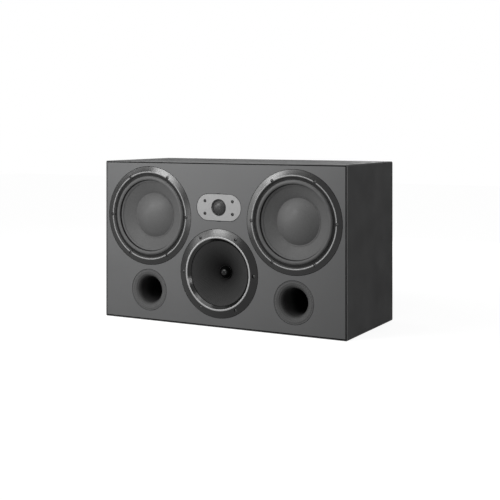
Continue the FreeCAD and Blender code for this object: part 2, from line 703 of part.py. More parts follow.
def voice_coil(bore, front, plate_front, plate_thickness, winding_height, tail):
    """A thin former with its wire winding centred in the gap of the top plate."""
    former = bore + FORMER_WALL
    winding = former + COIL_WINDING
    middle = plate_front + plate_thickness / 2
    begin = middle - winding_height / 2
    end = middle + winding_height / 2
    return revolved([(bore, front), (former, front), (former, begin), (winding, begin),
                     (winding, end), (former, end), (former, middle + tail),
                     (bore, middle + tail)])


def motor(coil_bore, front, plate, plate_radius, magnet_radius, magnet_bore, magnet_height, vent):
    """Top plate, ring magnet, and a yoke of back plate and pole in one forging."""
    gap_outer = coil_bore + FORMER_WALL + COIL_WINDING + COIL_GAP
    pole = coil_bore - COIL_GAP
    magnet_front = front + plate
    magnet_back = magnet_front + magnet_height
    top_plate = ring(gap_outer, plate_radius, front, magnet_front)
    magnet = ring(magnet_bore, magnet_radius, magnet_front, magnet_back)
    yoke = revolved([(vent, front), (pole, front), (pole, magnet_back),
                     (plate_radius, magnet_back), (plate_radius, magnet_back + plate),
                     (vent, magnet_back + plate)])
    return {"top_plate": top_plate, "magnet": magnet, "yoke": yoke}


# Woofers

def woofer_cone_depth(radius):
    """Depth of the cone's front face at a radius."""
    neck = WOOFER_COIL_BORE + FORMER_WALL + GLUE_GAP
    slope = (WOOFER_NECK_DEPTH - WOOFER_CONE_EDGE_DEPTH) / (WOOFER_CONE_RADIUS - neck)
    return WOOFER_CONE_EDGE_DEPTH + slope * (WOOFER_CONE_RADIUS - radius)


def woofer_trim_ring():
    """A bevelled ring rising to a rounded ridge, which the screws notch."""
    crest = -WOOFER_RIDGE_HEIGHT
    outer = WOOFER_RIDGE_RADIUS + WOOFER_RIDGE_WIDTH / 2
    inner = WOOFER_RIDGE_RADIUS - WOOFER_RIDGE_WIDTH / 2
    shoulder = crest + RING_NOSE
    body = revolved([(WOOFER_RING_BORE, RING_EDGE), (WOOFER_RING_RADIUS, RING_EDGE),
                     (WOOFER_RING_RADIUS, 0), (outer, shoulder),
                     (WOOFER_RIDGE_RADIUS, crest, inner, shoulder)])
    return cut_all(body, screw_holes(WOOFER_SCREW_CIRCLE, woofer_screw_seat(), RING_EDGE))


def woofer_chassis():
    seat = RING_EDGE + SURROUND_THICKNESS + 2 * SOFT_GAP
    return chassis(WOOFER_RING_RADIUS - RIM_GAP, WOOFER_SEAT_RADIUS, seat, WOOFER_BASKET_RADIUS,
                   (WOOFER_BASKET_RADIUS - BASKET_WALL, seat),
                   (WOOFER_TOWER_BORE, WOOFER_SPIDER_RADIUS, WOOFER_SPIDER_DEPTH + SOFT_GAP),
                   WOOFER_MOTOR_DEPTH, REAR_RING_BORE, WOOFER_SCREW_CIRCLE)


def woofer_surround():
    """A rubber half roll between a flat rim on the chassis and a band bonded to the cone."""
    half = SURROUND_THICKNESS / 2
    middle = RING_EDGE + SOFT_GAP + half
    outside = WOOFER_ROLL_RADIUS + half
    inside = WOOFER_ROLL_RADIUS - half
    centre = WOOFER_ROLL_CENTRE
    rim = WOOFER_SEAT_RADIUS - SOFT_GAP
    foot = centre + math.sqrt(outside ** 2 - half ** 2)
    band_end = centre - outside - SURROUND_BAND
    lift = SOFT_GAP + SURROUND_THICKNESS

    def on_cone(radius, rise):
        return (radius, woofer_cone_depth(radius) - rise)

    return revolved([
        (rim, middle - half), (foot, middle - half),
        (centre, middle - outside, centre - outside, middle),
        on_cone(centre - outside, lift), on_cone(band_end, lift), on_cone(band_end, SOFT_GAP),
        on_cone(centre - inside, SOFT_GAP), (centre - inside, middle),
        (centre, middle - inside, centre + inside, middle),
        (centre + inside, middle + half), (rim, middle + half)])


def woofer_cone():
    neck = WOOFER_COIL_BORE + FORMER_WALL + GLUE_GAP
    front_edge = woofer_cone_depth(WOOFER_CONE_RADIUS)
    front_neck = woofer_cone_depth(neck)
    return revolved([(WOOFER_CONE_RADIUS, front_edge), (neck, front_neck),
                     (neck, front_neck + CONE_WALL), (WOOFER_CONE_RADIUS, front_edge + CONE_WALL)])


def woofer_dust_cap():
    """A shallow dome with a narrow rim that lies on the cone."""
    rim = WOOFER_CAP_RADIUS + CAP_FLANGE
    seat = woofer_cone_depth(WOOFER_CAP_RADIUS) - GLUE_GAP
    rim_seat = woofer_cone_depth(rim) - GLUE_GAP
    half_radius = WOOFER_CAP_RADIUS / 2
    drop = dome_drop(dome_sphere(WOOFER_CAP_RADIUS, WOOFER_CAP_HEIGHT), half_radius)
    apex = seat - WOOFER_CAP_HEIGHT
    return revolved([(0, apex), (0, apex - CONE_WALL),
                     (half_radius, apex - CONE_WALL + drop, WOOFER_CAP_RADIUS, seat - CONE_WALL),
                     (rim, rim_seat - CONE_WALL), (rim, rim_seat), (WOOFER_CAP_RADIUS, seat),
                     (half_radius, apex + drop, 0, apex)])


def woofer_pieces():
    former = WOOFER_COIL_BORE + FORMER_WALL
    pieces = {
        "trim_ring": woofer_trim_ring(),
        "chassis": woofer_chassis(),
        "surround": woofer_surround(),
        "cone": woofer_cone(),
        "dust_cap": woofer_dust_cap(),
        "spider": spider(former + SOFT_GAP, WOOFER_SPIDER_RADIUS, WOOFER_SPIDER_DEPTH,
                         WOOFER_SPIDER_WAVES, WOOFER_SPIDER_WAVE_HEIGHT),
        "voice_coil": voice_coil(WOOFER_COIL_BORE, WOOFER_NECK_DEPTH - FORMER_COLLAR,
                                 WOOFER_MOTOR_DEPTH, WOOFER_PLATE_THICKNESS,
                                 WOOFER_COIL_HEIGHT, WOOFER_COIL_TAIL)}
    pieces.update(motor(WOOFER_COIL_BORE, WOOFER_MOTOR_DEPTH, WOOFER_PLATE_THICKNESS,
                        WOOFER_PLATE_RADIUS, WOOFER_MAGNET_RADIUS, WOOFER_MAGNET_BORE,
                        WOOFER_MAGNET_HEIGHT, WOOFER_VENT_RADIUS))
    return pieces


# Midrange

def mid_bevel_depth(radius):
    """Depth of the trim ring's outer bevel at a radius."""
    slope = (MID_LIP_HEIGHT - RING_NOSE) / (MID_RING_RADIUS - MID_LIP_OUTER)
    return -slope * (MID_RING_RADIUS - radius)


def midrange_trim_ring():
    """A bevelled ring rising to a rounded lip, with a funnel inside down to the cone."""
    lip_middle = (MID_LIP_OUTER + MID_LIP_INNER) / 2
    shoulder = RING_NOSE - MID_LIP_HEIGHT
    body = revolved([(MID_SEAT_RADIUS, RING_EDGE), (MID_RING_RADIUS, RING_EDGE),
                     (MID_RING_RADIUS, 0), (MID_LIP_OUTER, shoulder),
                     (lip_middle, -MID_LIP_HEIGHT, MID_LIP_INNER, shoulder),
                     (MID_RING_BORE, MID_FUNNEL_DEPTH)])
    return cut_all(body, screw_holes(MID_SCREW_CIRCLE, mid_screw_seat(), RING_EDGE))


def midrange_chassis():
    return chassis(MID_RING_RADIUS - RIM_GAP, MID_SEAT_RADIUS, MID_LEDGE_DEPTH, MID_BASKET_RADIUS,
                   (MID_LEDGE_RADIUS, MID_LEDGE_DEPTH),
                   (MID_TOWER_BORE, MID_SPIDER_RADIUS, MID_SPIDER_DEPTH + SOFT_GAP),
                   MID_MOTOR_DEPTH, MID_REAR_RING_BORE, MID_SCREW_CIRCLE)


def mid_cone_curve():
    """Rim, middle and neck of the cone's front face, which is hollowed like a shallow horn."""
    neck = MID_COIL_BORE + FORMER_WALL + GLUE_GAP
    middle_radius = (MID_CONE_RADIUS + neck) / 2
    middle_depth = (MID_CONE_EDGE_DEPTH + MID_NECK_DEPTH) / 2 - MID_CONE_BELLY
    return ((MID_CONE_RADIUS, MID_CONE_EDGE_DEPTH), (middle_radius, middle_depth),
            (neck, MID_NECK_DEPTH))


def midrange_cone():
    rim, middle, neck = mid_cone_curve()
    return revolved([rim, (middle[0], middle[1], neck[0], neck[1]),
                     (neck[0], neck[1] + CONE_WALL),
                     (middle[0], middle[1] + CONE_WALL, rim[0], rim[1] + CONE_WALL)])


def midrange_edge_ring():
    """A foam ring that carries the cone's rim on the chassis ledge."""
    outer = MID_CONE_RADIUS
    inner = outer - MID_EDGE_WIDTH
    front = MID_CONE_EDGE_DEPTH + CONE_WALL + SOFT_GAP
    rise = (MID_NECK_DEPTH - MID_CONE_EDGE_DEPTH) / (MID_CONE_RADIUS - MID_COIL_BORE)
    return revolved([(inner, front + rise * MID_EDGE_WIDTH), (outer, front),
                     (outer, MID_LEDGE_DEPTH - SOFT_GAP), (inner, MID_LEDGE_DEPTH - SOFT_GAP)])


def midrange_phase_plug():
    """A turned bullet that stands still on the pole, in the throat of the cone."""
    radius = MID_COIL_BORE - COIL_GAP
    tip = (0, MID_PLUG_TIP_DEPTH)
    nose = (MID_PLUG_TIP_RADIUS, MID_PLUG_TIP_DEPTH + MID_PLUG_TIP_HEIGHT)
    shoulder = (radius, MID_PLUG_SHOULDER_DEPTH)
    return revolved([(0, MID_MOTOR_DEPTH), tip, bulged(tip, nose, MID_PLUG_TIP_BULGE),
                     bulged(nose, shoulder, MID_PLUG_BULGE), (radius, MID_MOTOR_DEPTH)])


def midrange_pieces():
    former = MID_COIL_BORE + FORMER_WALL
    pieces = {
        "trim_ring": midrange_trim_ring(),
        "chassis": midrange_chassis(),
        "edge_ring": midrange_edge_ring(),
        "cone": midrange_cone(),
        "phase_plug": midrange_phase_plug(),
        "spider": spider(former + SOFT_GAP, MID_SPIDER_RADIUS, MID_SPIDER_DEPTH,
                         MID_SPIDER_WAVES, MID_SPIDER_WAVE_HEIGHT),
        "voice_coil": voice_coil(MID_COIL_BORE, MID_NECK_DEPTH - FORMER_COLLAR, MID_MOTOR_DEPTH,
                                 MID_PLATE_THICKNESS, MID_COIL_HEIGHT, MID_COIL_TAIL)}
    pieces.update(motor(MID_COIL_BORE, MID_MOTOR_DEPTH, MID_PLATE_THICKNESS, MID_PLATE_RADIUS,
                        MID_MAGNET_RADIUS, MID_MAGNET_BORE, MID_MAGNET_HEIGHT, MID_VENT_RADIUS))
    return pieces


# Tweeter

def tweeter_screw_places():
    return [(sx * TWEETER_SCREW_X, sz * TWEETER_SCREW_Z) for sx in (-1, 1) for sz in (-1, 1)]


def tweeter_screw_seat():
    return SCREW_HEAD_HEIGHT + TWEETER_SCREW_DEPTH


def tweeter_faceplate():
    """A long round-ended plate with a boss behind it that carries the motor."""
    plate = slab(TWEETER_WIDTH, TWEETER_HEIGHT, TWEETER_HEIGHT / 2, 0, TWEETER_PLATE_THICKNESS)
    plate = plate.makeChamfer(TWEETER_PLATE_EDGE, edges_at_depth(plate, 0))
    boss = rod(TWEETER_BOSS_RADIUS, TWEETER_PLATE_THICKNESS, TWEETER_BOSS_DEPTH)
    body = plate.fuse(boss)
    tools = [rod(TWEETER_HOLE_RADIUS, 0, TWEETER_LEDGE_DEPTH),
             rod(TWEETER_LEDGE_RADIUS, 0, TWEETER_BOSS_DEPTH)]
    seat = tweeter_screw_seat()
    for x, z in tweeter_screw_places():
        tools.append(rod(SCREW_HEAD_RADIUS + HEAD_CLEARANCE, 0, seat, x, z))
        tools.append(rod(SCREW_RADIUS + SCREW_CLEARANCE, 0, TWEETER_BOSS_DEPTH, x, z))
    for tool in tools:
        body = body.cut(tool)
    return body


def tweeter_guard():
    """A domed sheet with rings of round holes, square to the sheet."""
    rim = TWEETER_HOLE_RADIUS - SOFT_GAP
    back = TWEETER_LEDGE_DEPTH - SOFT_GAP
    sphere = dome_sphere(rim, GUARD_RISE)
    apex = back - GUARD_RISE
    half = rim / 2
    drop = dome_drop(sphere, half)
    dome = revolved([(0, apex), (0, apex - GUARD_WALL),
                     (half, apex - GUARD_WALL + drop, rim, back - GUARD_WALL), (rim, back),
                     (half, apex + drop, 0, apex)])
    centre_depth = apex + sphere
    drill = 4 * GUARD_WALL
    holes = []
    for row in range(GUARD_HOLE_RINGS + 1):
        tilt = row * GUARD_HOLE_PITCH / sphere
        count = max(1, GUARD_HOLES_PER_RING * row)
        for index in range(count):
            turn = math.radians(index * FULL_TURN / count)
            outward = vec(math.sin(tilt) * math.cos(turn), -math.cos(tilt),
                          math.sin(tilt) * math.sin(turn))
            start = vec(0, centre_depth, 0).add(outward.multiply(sphere - drill / 2))
            holes.append(Part.makeCylinder(GUARD_HOLE_RADIUS, drill, start, outward))
    return cut_all(dome, holes)


def tweeter_diaphragm():
    """Dome, half-roll edge and coil of one moving piece."""
    base = DOME_BASE_DEPTH
    sphere = dome_sphere(DOME_RADIUS, DOME_HEIGHT)
    half = DOME_RADIUS / 2
    drop = dome_drop(sphere, half)
    apex = base - DOME_HEIGHT
    inner_apex = apex + DOME_WALL
    roll_middle = DOME_RADIUS + DOME_ROLL
    roll_end = DOME_RADIUS + 2 * DOME_ROLL
    rim = roll_end + DOME_RIM
    coil_inner = DOME_RADIUS - TWEETER_COIL_WALL
    coil_end = TWEETER_BOSS_DEPTH + TWEETER_COIL_HEIGHT
    back = base + DOME_WALL
    return revolved([
        (0, inner_apex), (0, apex), (half, apex + drop, DOME_RADIUS, base),
        (roll_middle, base - DOME_ROLL_RISE, roll_end, base), (rim, base), (rim, back),
        (roll_end, back), (roll_middle, back - DOME_ROLL_RISE, DOME_RADIUS, back),
        (DOME_RADIUS, coil_end), (coil_inner, coil_end),
        (coil_inner, inner_apex + dome_drop(sphere, coil_inner)),
        (half, inner_apex + drop, 0, inner_apex)])


def tweeter_pieces():
    plate_front = TWEETER_BOSS_DEPTH
    plate_back = plate_front + TWEETER_TOP_PLATE
    magnet_back = plate_back + TWEETER_MAGNET_HEIGHT
    yoke_back = magnet_back + TWEETER_YOKE_PLATE
    pole = DOME_RADIUS - TWEETER_COIL_WALL - TWEETER_COIL_GAP
    tube_end = yoke_back + TWEETER_TUBE_LENGTH
    inner_end = TWEETER_TUBE_END - TWEETER_TUBE_WALL
    return {
        "faceplate": tweeter_faceplate(),
        "guard": tweeter_guard(),
        "diaphragm": tweeter_diaphragm(),
        "top_plate": ring(DOME_RADIUS + TWEETER_COIL_GAP, TWEETER_MOTOR_RADIUS,
                          plate_front, plate_back),
        "magnet": ring(TWEETER_MAGNET_BORE, TWEETER_MAGNET_RADIUS, plate_back, magnet_back),
        "yoke": revolved([(TWEETER_VENT_RADIUS, plate_front), (pole, plate_front),
                          (pole, magnet_back), (TWEETER_MOTOR_RADIUS, magnet_back),
                          (TWEETER_MOTOR_RADIUS, yoke_back), (TWEETER_VENT_RADIUS, yoke_back)]),
        "rear_tube": revolved([(TWEETER_TUBE_RADIUS - TWEETER_TUBE_WALL, yoke_back),
                               (TWEETER_TUBE_RADIUS, yoke_back), (TWEETER_TUBE_END, tube_end),
                               (0, tube_end), (0, tube_end - TWEETER_TUBE_WALL),
                               (inner_end, tube_end - TWEETER_TUBE_WALL)])}


def tweeter_screws():
    screw = socket_screw(tweeter_screw_seat(), SCREW_LENGTH)
    return Part.makeCompound([placed(screw, x, TWEETER_Z + z) for x, z in tweeter_screw_places()])


# Ports

def flare_back_radius():
    """Radius at which the back of the flare meets the back of the flange."""
    arc = PORT_FLARE - PORT_WALL
    rise = PORT_FLARE - PORT_FLANGE_THICKNESS
    return PORT_BORE + PORT_FLARE - math.sqrt(arc ** 2 - rise ** 2)


def port_tube():
    """A flared mouth with a flange let into the baffle, and a straight tube behind."""
    centre_radius = PORT_BORE + PORT_FLARE
    outer_arc = PORT_FLARE - PORT_WALL
    half = math.radians(QUARTER_TURN / 2)
    start_angle = math.asin((PORT_FLARE - PORT_FLANGE_THICKNESS) / outer_arc)
    middle = start_angle / 2
    return revolved([
        (PORT_BORE, PORT_LENGTH), (PORT_BORE, PORT_FLARE),
        (centre_radius - PORT_FLARE * math.cos(half), PORT_FLARE - PORT_FLARE * math.sin(half),
         centre_radius, 0),
        (PORT_FLANGE_RADIUS, 0), (PORT_FLANGE_RADIUS, PORT_FLANGE_THICKNESS),
        (flare_back_radius(), PORT_FLANGE_THICKNESS),
        (centre_radius - outer_arc * math.cos(middle), PORT_FLARE - outer_arc * math.sin(middle),
         PORT_OUTER, PORT_FLARE),
        (PORT_OUTER, PORT_LENGTH)])


# Terminals

def tray_screw_places():
    across = TRAY_WIDTH / 2 - TRAY_SCREW_INSET
    up = TRAY_HEIGHT / 2 - TRAY_SCREW_INSET
    return [(sx * across, TRAY_Z + sz * up) for sx in (-1, 1) for sz in (-1, 1)]


def tray_floor_y():
    return BACK_FACE_Y + TRAY_FLANGE - TRAY_CUP_DEPTH


def drafted_cup(grow, front, back):
    """A cup that narrows towards its floor: the loft of a small and a large rounded rectangle."""
    floor = rounded_rectangle(TRAY_CUP_WIDTH - 2 * TRAY_CUP_DRAFT + 2 * grow,
                              TRAY_CUP_HEIGHT - 2 * TRAY_CUP_DRAFT + 2 * grow,
                              TRAY_CORNER + grow - TRAY_CUP_DRAFT, front, 0, TRAY_Z)
    mouth = rounded_rectangle(TRAY_CUP_WIDTH + 2 * grow, TRAY_CUP_HEIGHT + 2 * grow,
                              TRAY_CORNER + grow, back, 0, TRAY_Z)
    return Part.makeLoft([floor, mouth], True, True)


def terminal_tray():
    mouth = BACK_FACE_Y + TRAY_FLANGE
    floor = tray_floor_y()
    plate = slab(TRAY_WIDTH, TRAY_HEIGHT, TRAY_CORNER, BACK_FACE_Y, mouth, 0, TRAY_Z)
    body = plate.fuse(drafted_cup(TRAY_WALL, floor - TRAY_WALL, mouth))
    body = body.cut(drafted_cup(0, floor, mouth))
    tools = [rod(POST_RADIUS + SHANK_GAP, floor - TRAY_WALL, floor, sign * POST_PITCH / 2, TRAY_Z)
             for _, sign in SIDES]
    tools += [rod(SCREW_RADIUS + SCREW_CLEARANCE, BACK_FACE_Y, mouth, x, z)
              for x, z in tray_screw_places()]
    return cut_all(body, tools)


def binding_post_stems():
    """Threaded stems with a collar on the tray floor and a plug socket in the outer end."""
    floor = tray_floor_y()
    tip = floor + POST_LENGTH
    stems = []
    for _, sign in SIDES:
        x = sign * POST_PITCH / 2
        stem = rod(POST_RADIUS, floor - POST_TAIL, tip, x, TRAY_Z)
        collar = rod(POST_COLLAR_RADIUS, floor, floor + POST_COLLAR_HEIGHT, x, TRAY_Z)
        socket = rod(POST_SOCKET_RADIUS, tip - POST_SOCKET_DEPTH, tip, x, TRAY_Z)
        stems.append(stem.fuse(collar).cut(socket))
    return Part.makeCompound(stems)


def binding_post_nuts():
    """Hexagon nuts on the stems' tails, tight against the back of the tray floor."""
    back = tray_floor_y() - TRAY_WALL
    corner = POST_NUT_WIDTH / math.sqrt(3)
    nuts = []
    for _, sign in SIDES:
        x = sign * POST_PITCH / 2
        points = [vec(x + px, back - POST_NUT_HEIGHT, TRAY_Z + pz)
                  for px, pz in circle_places(corner, HEX_CORNER_COUNT)]
        nut = Part.Face(Part.makePolygon(points + points[:1])).extrude(vec(0, POST_NUT_HEIGHT, 0))
        bore = rod(POST_RADIUS + SHANK_GAP, back - POST_NUT_HEIGHT, back, x, TRAY_Z)
        nuts.append(nut.cut(bore))
    return Part.makeCompound(nuts)


def binding_post_cap(sign):
    """A fluted screw cap that turns on its stem."""
    x = sign * POST_PITCH / 2
    inner_end = tray_floor_y() + POST_COLLAR_HEIGHT + CAP_LIFT
    outer_end = inner_end + CAP_LENGTH
    bore = POST_RADIUS + CAP_THREAD_GAP
    cap = revolved([(bore, inner_end), (CAP_RADIUS - CAP_CHAMFER, inner_end),
                    (CAP_RADIUS, inner_end + CAP_CHAMFER), (CAP_RADIUS, outer_end - CAP_CHAMFER),
                    (CAP_RADIUS - CAP_CHAMFER, outer_end), (bore, outer_end)])
    flutes = [rod(CAP_FLUTE_RADIUS, inner_end, outer_end, px, pz)
              for px, pz in circle_places(CAP_RADIUS + CAP_FLUTE_RADIUS / 2, CAP_FLUTES)]
    return cut_all(cap, flutes).translated(vec(x, 0, TRAY_Z))


def small_screws():
    """Screws that face backwards on the tray, and upright ones on the crossover board."""
    screws = []
    forward = socket_screw(0, BACK_THICKNESS)
    backward = forward.copy()
    backward.rotate(ORIGIN, UP_AXIS, FULL_TURN / 2)
    for x, z in tray_screw_places():
        screws.append(backward.translated(vec(x, BACK_FACE_Y + TRAY_FLANGE, z)))
    upright = socket_screw(0, BOARD_THICKNESS + PANEL_THICKNESS / 2)
    upright.rotate(ORIGIN, WIDTH_AXIS, -QUARTER_TURN)
    for x, y in board_screw_places():
        screws.append(upright.translated(vec(x, y, BOARD_TOP)))
    return Part.makeCompound(screws)


# Crossover

def board_screw_places():
    across = BOARD_LENGTH / 2 - BOARD_SCREW_INSET
    along = BOARD_WIDTH / 2 - BOARD_SCREW_INSET
    return [(sx * across, BOARD_Y + sy * along) for sx in (-1, 1) for sy in (-1, 1)]


def upright_holes(places, bottom, height):
    return [Part.makeCylinder(SCREW_RADIUS + SHANK_GAP, height, vec(x, y, bottom), UP_AXIS)
            for x, y in places]


def crossover_board():
    board = box_between(vec(-BOARD_LENGTH / 2, BOARD_Y - BOARD_WIDTH / 2, PANEL_THICKNESS),
                        vec(BOARD_LENGTH / 2, BOARD_Y + BOARD_WIDTH / 2, BOARD_TOP))
    return cut_all(board, upright_holes(board_screw_places(), PANEL_THICKNESS, BOARD_THICKNESS))


def inductor_row_end():
    """Where the row of inductors, which starts at the left end of the board, ends."""
    pitch = 2 * INDUCTOR_RADIUS + INDUCTOR_GAP
    return BOARD_END_MARGIN - BOARD_LENGTH / 2 + INDUCTOR_COUNT * pitch


def capacitor_row_start():
    """Where the row of capacitors, which ends at the right end of the board, starts."""
    pitch = 2 * CAPACITOR_RADIUS + CAPACITOR_GAP
    return BOARD_LENGTH / 2 - BOARD_END_MARGIN - CAPACITOR_COUNT * pitch


def crossover_inductors():
    coils = []
    for index in range(INDUCTOR_COUNT):
        pitch = 2 * INDUCTOR_RADIUS + INDUCTOR_GAP
        base = vec(inductor_row_end() - (index + 0.5) * pitch, BOARD_Y, BOARD_TOP)
        outer = Part.makeCylinder(INDUCTOR_RADIUS, INDUCTOR_HEIGHT, base, UP_AXIS)
        coils.append(outer.cut(Part.makeCylinder(INDUCTOR_BORE, INDUCTOR_HEIGHT, base, UP_AXIS)))
    return Part.makeCompound(coils)


def crossover_capacitors():
    cans = []
    for index in range(CAPACITOR_COUNT):
        pitch = 2 * CAPACITOR_RADIUS + CAPACITOR_GAP
        start = vec(capacitor_row_start() + (index + 0.5) * pitch, BOARD_Y - CAPACITOR_LENGTH / 2,
                    BOARD_TOP + CAPACITOR_RADIUS + GLUE_GAP)
        can = Part.makeCylinder(CAPACITOR_RADIUS, CAPACITOR_LENGTH, start, DEPTH_AXIS)
        rims = [edge for edge in can.Edges if isinstance(edge.Curve, Part.Circle)]
        cans.append(can.makeFillet(CAPACITOR_EDGE, rims))
    return Part.makeCompound(cans)


def crossover_resistors():
    blocks = []
    middle = (inductor_row_end() + capacitor_row_start()) / 2
    for index in range(RESISTOR_COUNT):
        offset = (index - RESISTOR_COUNT / 2) * (RESISTOR_SIDE + RESISTOR_GAP) + RESISTOR_GAP / 2
        low = vec(middle - RESISTOR_LENGTH / 2, BOARD_Y + offset, BOARD_TOP)
        blocks.append(Part.makeBox(RESISTOR_LENGTH, RESISTOR_SIDE, RESISTOR_SIDE, low))
    return Part.makeCompound(blocks)


def base_with_pilots(base):
    depth = PANEL_THICKNESS / 2
    return cut_all(base, upright_holes(board_screw_places(), PANEL_THICKNESS - depth, depth))


def all_parts():
    parts = cabinet_walls()
    parts["base_panel"] = base_with_pilots(parts["base_panel"])
    parts["front_baffle"] = front_baffle()
    parts["back_panel"] = back_panel()
    parts["window_brace"] = window_brace()
    parts["foam_lining"] = foam_lining()
    parts["midrange_chamber"] = midrange_chamber()
    woofer = woofer_pieces()
    for side, sign in SIDES:
        for name, shape in woofer.items():
            parts["woofer_" + side + "_" + name] = placed(shape, sign * WOOFER_X, WOOFER_Z)
        parts["port_" + side] = placed(port_tube(), sign * PORT_X, PORT_Z)
    for name, shape in midrange_pieces().items():
        parts["midrange_" + name] = placed(shape, 0, MID_Z)
    for name, shape in tweeter_pieces().items():
        parts["tweeter_" + name] = placed(shape, 0, TWEETER_Z)
    parts["driver_screws"] = driver_screws()
    parts["tweeter_screws"] = tweeter_screws()
    parts["terminal_tray"] = terminal_tray()
    parts["binding_post_stems"] = binding_post_stems()
    parts["binding_post_nuts"] = binding_post_nuts()
    for side, sign in SIDES:
        parts["binding_post_cap_" + side] = binding_post_cap(sign)
    parts["small_screws"] = small_screws()
    parts["crossover_board"] = crossover_board()
    parts["crossover_inductors"] = crossover_inductors()
    parts["crossover_capacitors"] = crossover_capacitors()
    parts["crossover_resistors"] = crossover_resistors()
    return parts


os.makedirs("parts", exist_ok=True)
for part_name, part_shape in all_parts().items():
    part_shape.exportStep(os.path.join("parts", part_name + ".step"))
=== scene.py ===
"""Looks of the LCR speaker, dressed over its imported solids. Metres, front towards -Y, Z up."""

import json
import math

import bmesh
import bpy
from mathutils import Matrix, Vector
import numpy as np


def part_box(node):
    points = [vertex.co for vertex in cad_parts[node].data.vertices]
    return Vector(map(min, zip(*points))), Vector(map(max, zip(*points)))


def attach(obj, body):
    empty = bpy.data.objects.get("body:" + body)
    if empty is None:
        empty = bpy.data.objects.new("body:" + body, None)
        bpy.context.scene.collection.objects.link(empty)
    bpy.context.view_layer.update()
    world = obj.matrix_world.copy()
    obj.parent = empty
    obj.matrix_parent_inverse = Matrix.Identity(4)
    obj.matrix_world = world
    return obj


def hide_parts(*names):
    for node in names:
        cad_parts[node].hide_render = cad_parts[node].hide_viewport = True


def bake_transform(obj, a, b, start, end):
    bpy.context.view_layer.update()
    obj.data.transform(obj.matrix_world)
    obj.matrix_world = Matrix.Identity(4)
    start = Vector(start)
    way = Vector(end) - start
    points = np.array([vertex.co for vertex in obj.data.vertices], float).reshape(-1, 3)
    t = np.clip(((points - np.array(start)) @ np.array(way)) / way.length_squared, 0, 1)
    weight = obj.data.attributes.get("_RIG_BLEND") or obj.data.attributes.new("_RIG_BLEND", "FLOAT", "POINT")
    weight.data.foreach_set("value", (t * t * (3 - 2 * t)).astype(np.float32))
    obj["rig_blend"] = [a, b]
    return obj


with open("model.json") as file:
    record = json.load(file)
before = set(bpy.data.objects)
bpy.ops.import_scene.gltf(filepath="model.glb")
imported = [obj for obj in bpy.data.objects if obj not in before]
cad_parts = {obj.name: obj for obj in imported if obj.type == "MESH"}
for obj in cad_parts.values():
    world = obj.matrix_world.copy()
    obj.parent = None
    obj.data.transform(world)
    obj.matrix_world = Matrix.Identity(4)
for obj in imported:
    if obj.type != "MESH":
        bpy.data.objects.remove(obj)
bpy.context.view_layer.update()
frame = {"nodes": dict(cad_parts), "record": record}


# Places read from the frame

def centre_of(node):
    low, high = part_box(node)
    return (low + high) / 2


def radius_of(node):
    low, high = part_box(node)
    return (high.x - low.x) / 2


def depths_of(node):
    """Front and back of a node, as depths behind the face of the front baffle."""
    low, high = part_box(node)
    return low.y - FACE_Y, high.y - FACE_Y


FACE_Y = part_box("front_baffle")[0].y
HALF_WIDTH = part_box("right_side_panel")[1].x
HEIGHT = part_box("top_panel")[1].z
SIDES = ("left", "right")
WOOFER_RING = radius_of("woofer_left_trim_ring")
WOOFER_CREST, RING_EDGE = depths_of("woofer_left_trim_ring")
WOOFER_CONE = radius_of("woofer_left_cone")
WOOFER_CONE_FRONT, WOOFER_CONE_BACK = depths_of("woofer_left_cone")
WOOFER_CAP_RIM = radius_of("woofer_left_dust_cap")
WOOFER_CAP_APEX = depths_of("woofer_left_dust_cap")[0]
SURROUND_RIM = radius_of("woofer_left_surround")
MID_RING = radius_of("midrange_trim_ring")
MID_CREST = depths_of("midrange_trim_ring")[0]
MID_CONE = radius_of("midrange_cone")
MID_CONE_FRONT, MID_CONE_BACK = depths_of("midrange_cone")
PLUG_RADIUS = radius_of("midrange_phase_plug")
PLUG_TIP, PLUG_FOOT = depths_of("midrange_phase_plug")
PORT_FLANGE = radius_of("port_left")
PORT_BACK = depths_of("port_left")[1]

# Painted shade: black in the rebates of the front, where the shadow gap lies in shade; how far in from the
# cabinet's faces, and its depths
PAINTED_SHADE_INSET = 0.0018
PAINTED_SHADE_FRONT = 0.0012
PAINTED_SHADE_BACK = 0.03

# Sizes of the turned pieces
RING_NOSE = 0.0003
WOOFER_CREST_WIDTH = 0.0026
MID_CREST_WIDTH = 0.0038
WOOFER_BEVEL_WIDTH = 0.0109
WOOFER_RIDGE_WIDTH = 0.0036
WOOFER_RING_WIDTH = 0.017
WOOFER_SCREW_INSET = 0.0118
CONE_WALL = 0.0009
CONE_NECK = 0.0193
CAP_RADIUS = 0.053
CAP_LIFT = 0.00005
SURROUND_WALL = 0.0012
SURROUND_GAP = 0.0003
ROLL_INSET = 0.0275
ROLL_CENTRE = WOOFER_RING - ROLL_INSET
ROLL_RADIUS = 0.0044
# width of the painted shade in the gutter at the roll's inner foot
ROLL_FOOT_SHADE_WIDTH = 0.0016
SURROUND_BAND = 0.0045
MID_BEVEL_WIDTH = 0.0162
MID_LIP_WIDTH = 0.0044
MID_FUNNEL_WIDTH = 0.0062
MID_FUNNEL_DEPTH = 0.001
MID_SEAT_INSET = 0.0252
MID_SCREW_INSET = 0.009
MID_NECK = 0.0155
MID_CONE_BELLY = 0.0034
MID_EDGE_WIDTH = 0.0046
MID_EDGE_RISE = 0.00261
SPIDER_WALL = 0.0008
SPIDER_FLAT = 0.005
WOOFER_SPIDER = {"bore": 0.01955, "waves": 5, "wave_height": 0.0024}
MID_SPIDER = {"bore": 0.01575, "waves": 4, "wave_height": 0.0015}
WINDING_FRONT = 0.044
PLUG_NOSE = 0.0022
PLUG_NOSE_HEIGHT = 0.0009
PLUG_NOSE_BULGE = 0.00028
PLUG_SHOULDER = 0.038
PLUG_BULGE = 0.00375
PORT_FLANGE_THICKNESS = 0.0035
PORT_BORE = 0.0305
PORT_FLARE = 0.014
PORT_WALL = 0.0025
# depths behind the face where the painted shade inside the ports' flare starts and where it is full
PORT_SHADE_START = 0.0008
PORT_SHADE_END = 0.009

